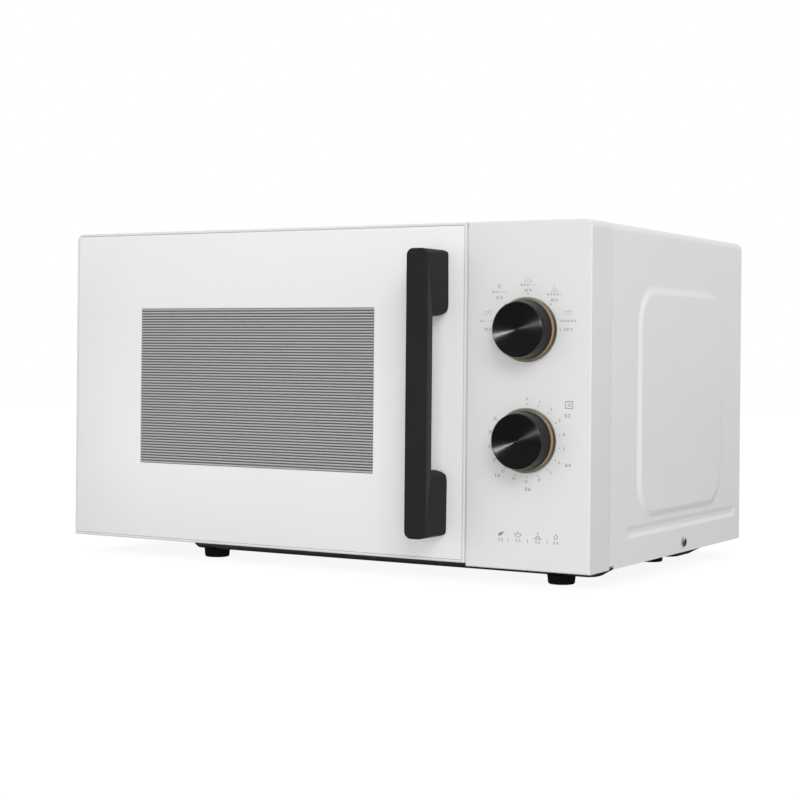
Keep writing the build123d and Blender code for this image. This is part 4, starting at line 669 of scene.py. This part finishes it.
# %% [markdown]
# ## Window
#
# Fine pale lines cross the clear rectangle from edge to edge. They are printed, only hundredths of a
# millimetre thick, on a smoked film right behind a thin clear front, and a dark liner closes the cut edge of
# the white paint. One line is modelled and an array repeats it.

# %% Window pane and its printed lines
PANE_GAP = 0.08 * MM
PANE_DEPTH = 0.4 * MM
PANE_EDGE = 0.15 * MM
LINER_WALL = 0.25 * MM
LINE_COUNT = 58
LINE_SHARE = 0.50
INK = 0.06 * MM
FILM_DEPTH = 0.3 * MM


def tinted_sheet(name, colour, cover, roughness):
    """See-through sheet with a tint: how much it covers is its alpha, and a slow haze varies its gloss."""
    material, tree, place = new_material(name)
    haze = add_node(tree, "TexNoise", {"Vector": place, "Scale": 1 / (90 * MM), "Detail": 1.0})
    return finish(material, tone=colour, gloss=(haze, roughness, 2 * roughness),
                  shader={"IOR": 1.52, "Alpha": cover})


def printed_ink(name, dark, light):
    """Screen-printed ink: a matt film with slight pinholes about 0.4 mm across."""
    material, tree, place = new_material(name)
    pores = add_node(tree, "TexNoise", {"Vector": place, "Scale": 1 / (0.4 * MM), "Detail": 2.0})
    return finish(material, tone=(pores, dark, light), gloss=(pores, 0.45, 0.6), shader={"IOR": 1.5})


WINDOW_GLASS = tinted_sheet("tinted_window_glass", "808182", cover=0.10, roughness=0.04)
SMOKED_FILM = tinted_sheet("smoked_window_film", "5E5E5F", cover=0.78, roughness=0.20)
LINE_INK = printed_ink("window_line_ink", "CBCBCB", "D3D3D3")
LINER_INK = printed_ink("window_liner_ink", "2E2E2F", "383839")

gap = Vector((PANE_GAP, 0, PANE_GAP))
pane_back = glass_low.y + PANE_DEPTH
pane = blank(window_low + gap, Vector((window_high.x, pane_back, window_high.z)) - gap)
soften(pane, PANE_EDGE)
hand_over(pane, "window_pane", WINDOW_GLASS, "door")

line_pitch = (window_high.z - window_low.z) / LINE_COUNT
line_low = Vector((window_low.x, pane_back + INK, window_low.z + line_pitch * (1 - LINE_SHARE) / 2))
line_high = Vector((window_high.x, pane_back + 2 * INK, line_low.z + line_pitch * LINE_SHARE))
lines = blank(line_low, line_high)
repeat(lines, LINE_COUNT, (0, 0, line_pitch))
hand_over(lines, "window_lines", LINE_INK, "door")

film_front = pane_back + 3 * INK
film_back = film_front + FILM_DEPTH
film = blank(Vector((window_low.x, film_front, window_low.z)) + gap,
             Vector((window_high.x, film_back, window_high.z)) - gap)
soften(film, INK)
hand_over(film, "smoked_film", SMOKED_FILM, "door")

liner_low = Vector((window_low.x, film_back + INK, window_low.z))
liner = plain_rim(liner_low + gap, window_high - gap, LINER_WALL)
soften(liner, INK)
hand_over(liner, "window_liner", LINER_INK, "door")

# %% [markdown]
# ## Panel lip
#
# The control panel is moulded with a thin lip down its left edge, set back a little, that half fills the gap
# beside the door, so the gap shows as a pale line. The lip is a long blank with rounded edges.

# %% Fill the gap beside the door
LIP_WIDTH = 0.5 * MM
LIP_SETBACK = 0.6 * MM
LIP_DEPTH = 6 * MM
LIP_CLEAR = 3 * MM
LIP_EDGE = 0.1 * MM

panel_low, panel_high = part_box("control_panel")
lip_low = Vector((panel_low.x - LIP_WIDTH, panel_low.y + LIP_SETBACK, panel_low.z + LIP_CLEAR))
lip_high = Vector((panel_low.x, lip_low.y + LIP_DEPTH, panel_high.z - LIP_CLEAR))
lip = blank(lip_low, lip_high)
soften(lip, LIP_EDGE)
hand_over(lip, "panel_lip", WHITE_ABS, "cabinet")

# %% [markdown]
# ## Door screen
#
# Behind the window is a steel sheet full of small holes, which lets light through and keeps the microwaves
# in. A texture could fake the holes, but through the window they shift against the lines, so they are real:
# a pair of six-sided cells, each with a hole, is repeated by two arrays, welded, and given a thickness. The
# real holes are about 2 mm apart; here they are 3.2 mm apart so that they show. A plain rim closes the
# sheet's edge.

# %% Perforate the screen
HOLE_PITCH = 3.2 * MM
HOLE_RADIUS = 1.15 * MM
SCREEN_RIM = 8 * MM
SHEET_SHARE = 0.6
WELD_REACH = 0.02 * MM


def perforated_sheet(low, high):
    """Sheet of six-sided cells, each with a hole, that covers the rectangle between two corners."""
    row_step = HOLE_PITCH * math.sqrt(3) / 2
    columns = math.ceil((high.x - low.x) / HOLE_PITCH) + 1
    pairs = math.ceil((high.z - low.z) / (2 * row_step)) + 1
    middle = (low.y + high.y) / 2
    outer = HOLE_PITCH / math.sqrt(3)
    clear_selection()
    cells = []
    for x, z in ((low.x + HOLE_PITCH / 2, low.z + row_step), (low.x, low.z)):
        bpy.ops.mesh.primitive_circle_add(vertices=6, radius=outer, fill_type="NGON",
                                          location=(x, middle, z), rotation=UPRIGHT)
        bpy.ops.object.mode_set(mode="EDIT")
        bpy.ops.mesh.inset(thickness=(outer - HOLE_RADIUS) * math.cos(math.pi / 6))
        bpy.ops.mesh.delete(type="FACE")
        bpy.ops.object.mode_set(mode="OBJECT")
        cells.append(bpy.context.object)
    sheet = join_pieces(cells)
    bpy.ops.object.transform_apply()
    repeat(sheet, columns, (HOLE_PITCH, 0, 0))
    repeat(sheet, pairs, (0, 0, 2 * row_step))
    select_whole()
    bpy.ops.mesh.remove_doubles(threshold=WELD_REACH)
    bpy.ops.object.mode_set(mode="OBJECT")
    apply_modifier(sheet, "SOLIDIFY", thickness=SHEET_SHARE * (high.y - low.y), offset=0)
    return sheet


SCREEN_PAINT = moulded_plastic("black_dipped_steel", "1C1D1E", "252627", grain=0.9, depth=0.02,
                               roughness=0.45, shine=0.3)
inset = Vector((SCREEN_RIM - HOLE_PITCH, 0, SCREEN_RIM - HOLE_PITCH))
screen = perforated_sheet(screen_low + inset, screen_high - inset)
rim = plain_rim(screen_low, screen_high, SCREEN_RIM)
hand_over(screen, "screen_mesh", SCREEN_PAINT, "door")
hand_over(rim, "screen_rim", SCREEN_PAINT, "door")
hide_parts("door_screen")

# %% [markdown]
# ## Handle cheeks
#
# A thin cheek lies along each side of the handle's bar, a little smoother than the rest and painted a little
# lighter, as painted light on the sides of the bar. Its ends are cut on the slant where the posts begin,
# which draws the crease of the handle. Each cheek is a blank with a shortened rear face.

# %% Lay the cheeks on the bar
BAR_DEPTH = 9 * MM
POST_HEIGHT = 46 * MM
FRONT_ROUND = 1.5 * MM
CHEEK_RISE = 0.3 * MM
CHEEK_SINK = 0.4 * MM
CHEEK_EDGE = 0.12 * MM

bar_low, bar_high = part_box("handle")
crease_start = POST_HEIGHT * FRONT_ROUND / BAR_DEPTH
for side, face_x, outward in (("left", bar_low.x, -1), ("right", bar_high.x, 1)):
    across = sorted((face_x + outward * CHEEK_RISE, face_x - outward * CHEEK_SINK))
    low = Vector((across[0], bar_low.y + FRONT_ROUND, bar_low.z + crease_start))
    high = Vector((across[1], bar_low.y + BAR_DEPTH, bar_high.z - crease_start))
    cheek = blank(low, high)
    pick_faces(cheek, lambda face: face.normal.y > FACING)
    short = (bar_high.z - bar_low.z - 2 * POST_HEIGHT) / (high.z - low.z)
    bpy.ops.transform.resize(value=(1, 1, short))
    soften(cheek, CHEEK_EDGE)
    # Painted light: the cheek's lighter black stands for light falling on the bar's side.
    hand_over(cheek, "handle_cheek_" + side, CHEEK_BLACK_PAINTED_LIT, "door")

# %% [markdown]
# ## Knobs and rings
#
# Each knob carries a dished cap of black spun metal. The lathe leaves circles too fine to see, which stretch
# every highlight into a wedge from the middle to the rim. Anisotropy does this in the shader, with its
# direction pointing away from the knob's axis. The ring behind each knob is turned in the same way and then
# lacquered, so it is only half metallic. It is bronze on its front, with painted light: a painted highlight
# makes it bright gold near the knob and painted shade makes it dark brown on its outside, so the colour of
# turned metal is a ramp over the distance from the axis. A painted reflection makes it greyer at the top and
# bottom, so the ramp is mixed with a pole colour. A bevel in the shader rounds the rims.

# %% Spun caps and turned rings
CAP_POLE = "5A5A5B"
CAP_TONES = {0.0: CAP_POLE, 18.0: CAP_POLE}
CAP_TILT = 0.07
# Painted highlight and painted shade on the ring: bright gold near the knob, dark brown outside, by distance
# in mm.
RING_TONES_PAINTED_LIGHT = {20.3: "E6CBA4", 20.7: "E2C8A2", 21.3: "BC9C72", 21.7: "402D19"}
# Painted reflection: the greyer colour at the ring's top and bottom.
RING_POLE_PAINTED_REFLECTION = "96937F"
RAMP_REACH = 25 * MM
GROOVE = 0.3 * MM
GROOVE_TONES = (0.92, 1.08)
GROOVE_GLOSS = 0.01
RIM_ROUND = 0.6 * MM


def turned_metal(name, axis, tones, pole, metal, roughness, stretch, tilt=0.0):
    """Metal off a lathe: circles round an axis along Y, a highlight drawn out across them, a tilt inwards.
    The tones over the radius and the pole colour can hold painted light.
    """
    material, tree, place = new_material(name)
    away = add_node(tree, "VectorMath", {0: place, 1: axis}, operation="SUBTRACT")
    flat = add_node(tree, "VectorMath", {0: away, 1: (1, 0, 1)}, operation="MULTIPLY")
    outward = add_node(tree, "VectorMath", {0: flat}, operation="NORMALIZE")
    tangent = add_node(tree, "VectorTransform", {"Vector": outward}, vector_type="VECTOR",
                       convert_from="OBJECT", convert_to="WORLD")
    radius = add_node(tree, "VectorMath", {0: flat}, operation="LENGTH").outputs["Value"]
    # A ramp of tones over the distance from the axis: on the rings it paints a highlight and shade.
    reach = add_node(tree, "MapRange", {"Value": radius, "From Max": RAMP_REACH})
    ramp = add_node(tree, "ValToRGB", {"Fac": reach})
    stops = ramp.color_ramp.elements
    while len(stops) < len(tones):
        stops.new(1.0)
    for stop, (distance, code) in zip(stops, tones.items()):
        stop.position = distance * MM / RAMP_REACH
        stop.color = srgb(code)
    # The pole colour is mixed in towards the top and bottom: on the rings a painted reflection.
    upright = add_node(tree, "SeparateXYZ", {"Vector": outward}).outputs["Z"]
    polar = add_node(tree, "Math", {0: upright, 1: upright}, operation="MULTIPLY")
    tone_with_painted_light = add_node(tree, "MixRGB", {"Fac": polar, "Color1": ramp, "Color2": srgb(pole)})
    circle = add_node(tree, "TexNoise", {"W": radius, "Scale": 1 / GROOVE, "Detail": 3.0},
                      noise_dimensions="1D")
    worn = add_node(tree, "MapRange", {"Value": circle, "To Min": GROOVE_TONES[0],
                                       "To Max": GROOVE_TONES[1]})
    tone = add_node(tree, "MixRGB", {"Fac": 1.0, "Color1": tone_with_painted_light, "Color2": worn},
                    blend_type="MULTIPLY")
    face = add_node(tree, "Bevel", {"Radius": RIM_ROUND})
    leaning = add_node(tree, "VectorMath", {0: tangent, 1: (-tilt, -tilt, -tilt), 2: face},
                       operation="MULTIPLY_ADD")
    normal = add_node(tree, "VectorMath", {0: leaning}, operation="NORMALIZE")
    return finish(material, tone, gloss=(circle, roughness - GROOVE_GLOSS, roughness + GROOVE_GLOSS),
                  shader={"Metallic": metal, "Anisotropic": stretch, "Normal": normal, "Tangent": tangent})


def knob_axis(dial):
    """Middle of a knob, on its axis."""
    low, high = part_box(dial + "_knob")
    return (low + high) / 2


for dial in DIALS:
    axis = knob_axis(dial)
    dress(turned_metal("spun_black_metal_" + dial, axis, CAP_TONES, CAP_POLE, metal=1.0, roughness=0.28,
                       stretch=1.0, tilt=CAP_TILT), dial + "_cap")
    # The rings' bronze carries a painted highlight, painted shade and a painted reflection.
    dress(turned_metal("turned_bronze_painted_light_" + dial, axis, RING_TONES_PAINTED_LIGHT, RING_POLE_PAINTED_REFLECTION, metal=0.5, roughness=0.3,
                       stretch=0.5), dial + "_ring")

# %% [markdown]
# ## Printed marks
#
# The scales are screen-printed on the panel in grey: minutes and weights round the timer, five levels round
# the power dial and a row of small signs at the foot. Print has hardly any thickness, but it is made as thin
# raised ink, so it stays sharp at any distance. Numbers are text turned into mesh; dots, bars, rings and
# arches start as flat polygons. The signs are put together from these few shapes.

# %% Tools for print
PANEL_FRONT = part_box("control_panel")[0].y
POWER_AXIS, TIMER_AXIS = (knob_axis(dial) for dial in DIALS)
DIGIT_SHARE = 0.7
LETTER_STEPS = 3
DOT_SIDES = 12
RING_SIDES = 16
STROKE = 0.45


def print_text(words, x, z, height):
    """Words or digits in ink, centred on a point of the panel."""
    clear_selection()
    bpy.ops.object.text_add(location=(x, PANEL_FRONT, z), rotation=UPRIGHT)
    label = bpy.context.object
    label.data.body = words
    label.data.size = height / DIGIT_SHARE
    label.data.align_x = "CENTER"
    label.data.align_y = "CENTER"
    label.data.extrude = INK
    label.data.resolution_u = LETTER_STEPS
    bpy.ops.object.convert(target="MESH")
    bpy.ops.object.transform_apply()
    return bpy.context.object


def raise_ink():
    """Give what is selected the thickness of ink and leave edit mode."""
    bpy.ops.mesh.extrude_region_move(TRANSFORM_OT_translate={"value": (0, -INK, 0)})
    bpy.ops.object.mode_set(mode="OBJECT")
    return bpy.context.object


def print_shape(x, z, width, height, turn=0, sides=4):
    """Flat polygon in ink about a point, in millimetres and degrees: four sides give a bar."""
    clear_selection()
    start = math.pi / 4 if sides == 4 else 0
    reach = math.sqrt(0.5) if sides == 4 else 0.5
    bpy.ops.mesh.primitive_circle_add(vertices=sides, radius=reach, fill_type="NGON", rotation=(0, 0, start))
    bpy.ops.object.transform_apply()
    shape = bpy.context.object
    shape.scale = (width * MM, height * MM, 1)
    bpy.ops.object.transform_apply()
    shape.location = (x, PANEL_FRONT, z)
    shape.rotation_euler = (math.pi / 2, math.radians(turn), 0)
    bpy.ops.object.transform_apply()
    select_whole()
    return raise_ink()


def dot(x, z, width):
    """Round spot about a point."""
    return print_shape(x, z, width, width, sides=DOT_SIDES)


def ring(x, z, radius, half=0):
    """Ring about a point. With half 1 only its upper half is kept, with -1 only its lower half."""
    clear_selection()
    middle = (x, PANEL_FRONT, z)
    bpy.ops.mesh.primitive_circle_add(vertices=RING_SIDES, radius=radius * MM, fill_type="NGON",
                                      location=middle, rotation=UPRIGHT)
    bpy.ops.object.transform_apply()
    select_whole()
    bpy.ops.mesh.inset(thickness=STROKE * MM)
    bpy.ops.mesh.delete(type="FACE")
    bpy.ops.mesh.select_all(action="SELECT")
    if half:
        bpy.ops.mesh.bisect(plane_co=middle, plane_no=(0, 0, half), clear_inner=True)
        bpy.ops.mesh.select_all(action="SELECT")
    return raise_ink()


def around(axis, angle, radius):
    """Point at an angle clockwise from the top of a dial."""
    turn = math.radians(angle)
    return axis.x + radius * MM * math.sin(turn), axis.z + radius * MM * math.cos(turn)


def join_marks(marks, name, ink):
    """One piece from many marks, riding on the cabinet."""
    hand_over(join_pieces(marks), name, ink, "cabinet")


# %% Draw the signs


def sign_flake(x, z):
    """Snow crystal: three crossing strokes."""
    return [print_shape(x, z, 4.4, STROKE, turn) for turn in (0, 60, 120)]


def sign_dome(x, z):
    """Covered plate: an arch on a line."""
    return [ring(x, z - 1.2 * MM, 2.3, 1), print_shape(x, z - 1.5 * MM, 6.0, STROKE)]


def sign_steam(x, z):
    """Low dish with steam: an arch, a line and an upright stroke."""
    dish = [ring(x, z - 1.6 * MM, 1.7, 1), print_shape(x, z - 1.9 * MM, 6.4, STROKE)]
    return dish + [print_shape(x, z + 1.6 * MM, STROKE, 1.8)]


def sign_bowl(x, z):
    """Bowl with something in it: a lower half ring, a line and a spot."""
    bowl = [ring(x, z + 0.4 * MM, 2.3, -1), print_shape(x, z + 0.5 * MM, 5.6, STROKE)]
    return bowl + [dot(x, z + 1.6 * MM, 1.0)]


def sign_warm(x, z):
    """Two warm spots: two small rings side by side."""
    return [ring(x + side * 1.5 * MM, z + side * 0.4 * MM, 1.5) for side in (-1, 1)]


def sign_box(x, z):
    """Frozen packet: an outline of four strokes with two lines in it."""
    sides = [print_shape(x + side * 2.6 * MM, z, STROKE, 5.0) for side in (-1, 1)]
    ends = [print_shape(x, z + side * 2.3 * MM, 5.2, STROKE) for side in (-1, 1)]
    return sides + ends + [print_shape(x + 0.4 * MM, z + rise * MM, 2.6, STROKE) for rise in (-0.6, 0.7)]


def sign_potato(x, z):
    """Oval on a slant, with an eye."""
    return [print_shape(x, z, 4.4, 2.2, -30, DOT_SIDES), dot(x + 2.4 * MM, z + 1.4 * MM, 0.8)]


def sign_drop(x, z):
    """Drop: a ring with a point on top."""
    return [ring(x, z - 0.3 * MM, 1.5), print_shape(x, z + 1.5 * MM, 1.2, 1.2, -90, sides=3)]


print("signs drawn with strokes of", STROKE, "mm")

# %% Print the scales
PALE_INK = printed_ink("pale_sign_ink", "B9B9B8", "C2C2C1")
GREY_INK = printed_ink("grey_scale_ink", "8B8B8A", "979796")
DARK_INK = printed_ink("dark_scale_ink", "6A6A6A", "767675")
DIGIT_HEIGHT = 2.2 * MM
WEIGHT_HEIGHT = 2.4 * MM
LEVEL_HEIGHT = 2.0 * MM

TIMER_MARKS = ["0", "1", "2", "3", "4", "5", "6", "7", "8", "9", "10", "15", "20", "25", "30", "35"]
TIMER_STEP = 20
TIMER_DIGITS = 28
TIMER_DOTS = 24.8
TIMER_DOT = 0.9
PACKET = (204.3 * MM, 125.8 * MM)
WEIGHT_MARKS = {"0.2": (60, 34.7), "0.4": (117, 34.5), "0.6": (178, 33.0), "1.0": (222, 33.0)}

# Angle and radius of the number, rise of the sign above it, the sign and the number.
LEVELS = [
    (-90, 30.2, 11.6, sign_warm, "20"),
    (-45, 30.6, 8.0, sign_flake, "40"),
    (0, 26.6, 7.3, sign_dome, "60"),
    (45, 27.9, 8.0, sign_steam, "80"),
    (90, 30.1, 11.6, sign_bowl, "100"),
]
LEVEL_DOTS = 24.3
LEVEL_DOT = 1.0
DASH_STEP = 2.4 * MM
DASH_WIDTH = 1.7
THICK_DASH = 1.5
THIN_DASH = 0.5
MIDDLE_DASH = len(LEVELS) // 2

FOOT_SIGNS = {154.0: (sign_potato, "0.5"), 167.1: (sign_bowl, "0.3"), 182.0: (sign_steam, "0.2"),
              195.3: (sign_drop, "0.4")}
FOOT_BARS = (159.9, 174.2, 189.2)
FOOT_BAR = (0.35, 2.6)
FOOT_SIGN_Z = 37.0 * MM
FOOT_DIGIT_Z = 32.9 * MM
FOOT_BAR_Z = 33.0 * MM

numbers = []
for index, words in enumerate(TIMER_MARKS):
    numbers.append(print_text(words, *around(TIMER_AXIS, index * TIMER_STEP, TIMER_DIGITS), DIGIT_HEIGHT))
    numbers.append(dot(*around(TIMER_AXIS, index * TIMER_STEP, TIMER_DOTS), TIMER_DOT))
numbers += sign_box(*PACKET)
join_marks(numbers, "timer_scale", GREY_INK)

weights = [print_text(words, *around(TIMER_AXIS, *place), WEIGHT_HEIGHT)
           for words, place in WEIGHT_MARKS.items()]
join_marks(weights, "timer_weights", DARK_INK)

levels = []
signs = []
for count, (angle, radius, rise, sign, words) in enumerate(LEVELS, start=1):
    x, z = around(POWER_AXIS, angle, radius)
    levels.append(dot(*around(POWER_AXIS, angle, LEVEL_DOTS), LEVEL_DOT))
    levels.append(print_text(words + " %", x, z, LEVEL_HEIGHT))
    signs += sign(x, z + rise * MM)
    for index in range(len(LEVELS)):
        height = THICK_DASH if index < count else THIN_DASH
        dash_x = x + (index - MIDDLE_DASH) * DASH_STEP
        signs.append(print_shape(dash_x, z + rise / 2 * MM, DASH_WIDTH, height))
join_marks(levels, "power_scale", GREY_INK)
join_marks(signs, "power_signs", PALE_INK)

row = []
for x, (sign, words) in FOOT_SIGNS.items():
    row += sign(x * MM, FOOT_SIGN_Z)
    row.append(print_text(words, x * MM, FOOT_DIGIT_Z, DIGIT_HEIGHT))
row += [print_shape(x * MM, FOOT_BAR_Z, *FOOT_BAR) for x in FOOT_BARS]
join_marks(row, "foot_row", GREY_INK)

# %% [markdown]
# ## Screws
#
# Six cross-head screws hold the casing. One is modelled: a cylinder with a domed top, and a cross cut into it
# by a boolean. It is copied to the six seats, each copy with its own mesh, and the six are joined to one
# piece.

# %% Cut one screw and copy it
HEAD_RADIUS = 3.5 * MM
HEAD_RISE = 1.8 * MM
HEAD_ROUND = 0.9 * MM
HEAD_STEPS = 4
BAR_SIDES = 32
SHANK_RADIUS = 1.8 * MM
SHANK_LENGTH = 7.0 * MM
CROSS_REACH = 2.0 * MM
CROSS_WIDTH = 0.8 * MM
CROSS_DEPTH = 1.0 * MM


def round_bar(radius, low, high):
    """Cylinder that stands on Z between two heights."""
    clear_selection()
    bpy.ops.mesh.primitive_cylinder_add(vertices=BAR_SIDES, radius=radius, depth=high - low,
                                        location=(0, 0, (low + high) / 2))
    bpy.ops.object.transform_apply()
    return bpy.context.object


def cut(piece, tool, operation):
    """Combine a piece with a tool and throw the tool away."""
    clear_selection()
    bpy.context.view_layer.objects.active = piece
    apply_modifier(piece, "BOOLEAN", object=tool, operation=operation)
    bpy.data.objects.remove(tool)


def cross_screw():
    """Pan-head screw along Z, with its seat at the origin and its head above."""
    head = round_bar(HEAD_RADIUS, 0, HEAD_RISE)
    pick_edges(head, lambda first, second: first.z > HEAD_RISE / 2 and second.z > HEAD_RISE / 2)
    bpy.ops.mesh.bevel(offset=HEAD_ROUND, segments=HEAD_STEPS, affect="EDGES")
    bpy.ops.object.mode_set(mode="OBJECT")
    cut(head, round_bar(SHANK_RADIUS, -SHANK_LENGTH, HEAD_RISE / 2), "UNION")
    for reach, width in ((CROSS_REACH, CROSS_WIDTH), (CROSS_WIDTH, CROSS_REACH)):
        low = Vector((-reach, -width, HEAD_RISE - CROSS_DEPTH))
        cut(head, blank(low, Vector((reach, width, 2 * HEAD_RISE))), "DIFFERENCE")
    bpy.ops.object.shade_smooth_by_angle(angle=SMOOTH_ANGLE)
    return head


def copy_screws(seats):
    """One piece of screws from a list of seats, each with the way its head points."""
    pattern = cross_screw()
    copies = []
    for place, outward in seats:
        clear_selection()
        pattern.select_set(True)
        bpy.context.view_layer.objects.active = pattern
        bpy.ops.object.duplicate()
        screw = bpy.context.object
        screw.location = place
        screw.rotation_euler = Vector(outward).to_track_quat("Z", "Y").to_euler()
        bpy.ops.object.transform_apply()
        copies.append(screw)
    bpy.data.objects.remove(pattern)
    return join_pieces(copies)


screws_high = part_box("case_screws")[1]
SIDE_SEAT = (screws_high.x - HEAD_RISE, 38.4 * MM, 20.5 * MM)
REAR_SEAT = (215.5 * MM, screws_high.y - HEAD_RISE, 180.0 * MM)
TOP_SEAT = (160.0 * MM, screws_high.y - HEAD_RISE, 245.5 * MM)
seats = []
for side in (-1, 1):
    for (x, y, z), outward in ((SIDE_SEAT, (side, 0, 0)), (REAR_SEAT, (0, 1, 0)), (TOP_SEAT, (0, 1, 0))):
        seats.append(((side * x, y, z), outward))
screws = copy_screws(seats)
hand_over(screws, "cross_head_screws", PLATED, "cabinet")
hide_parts("case_screws")
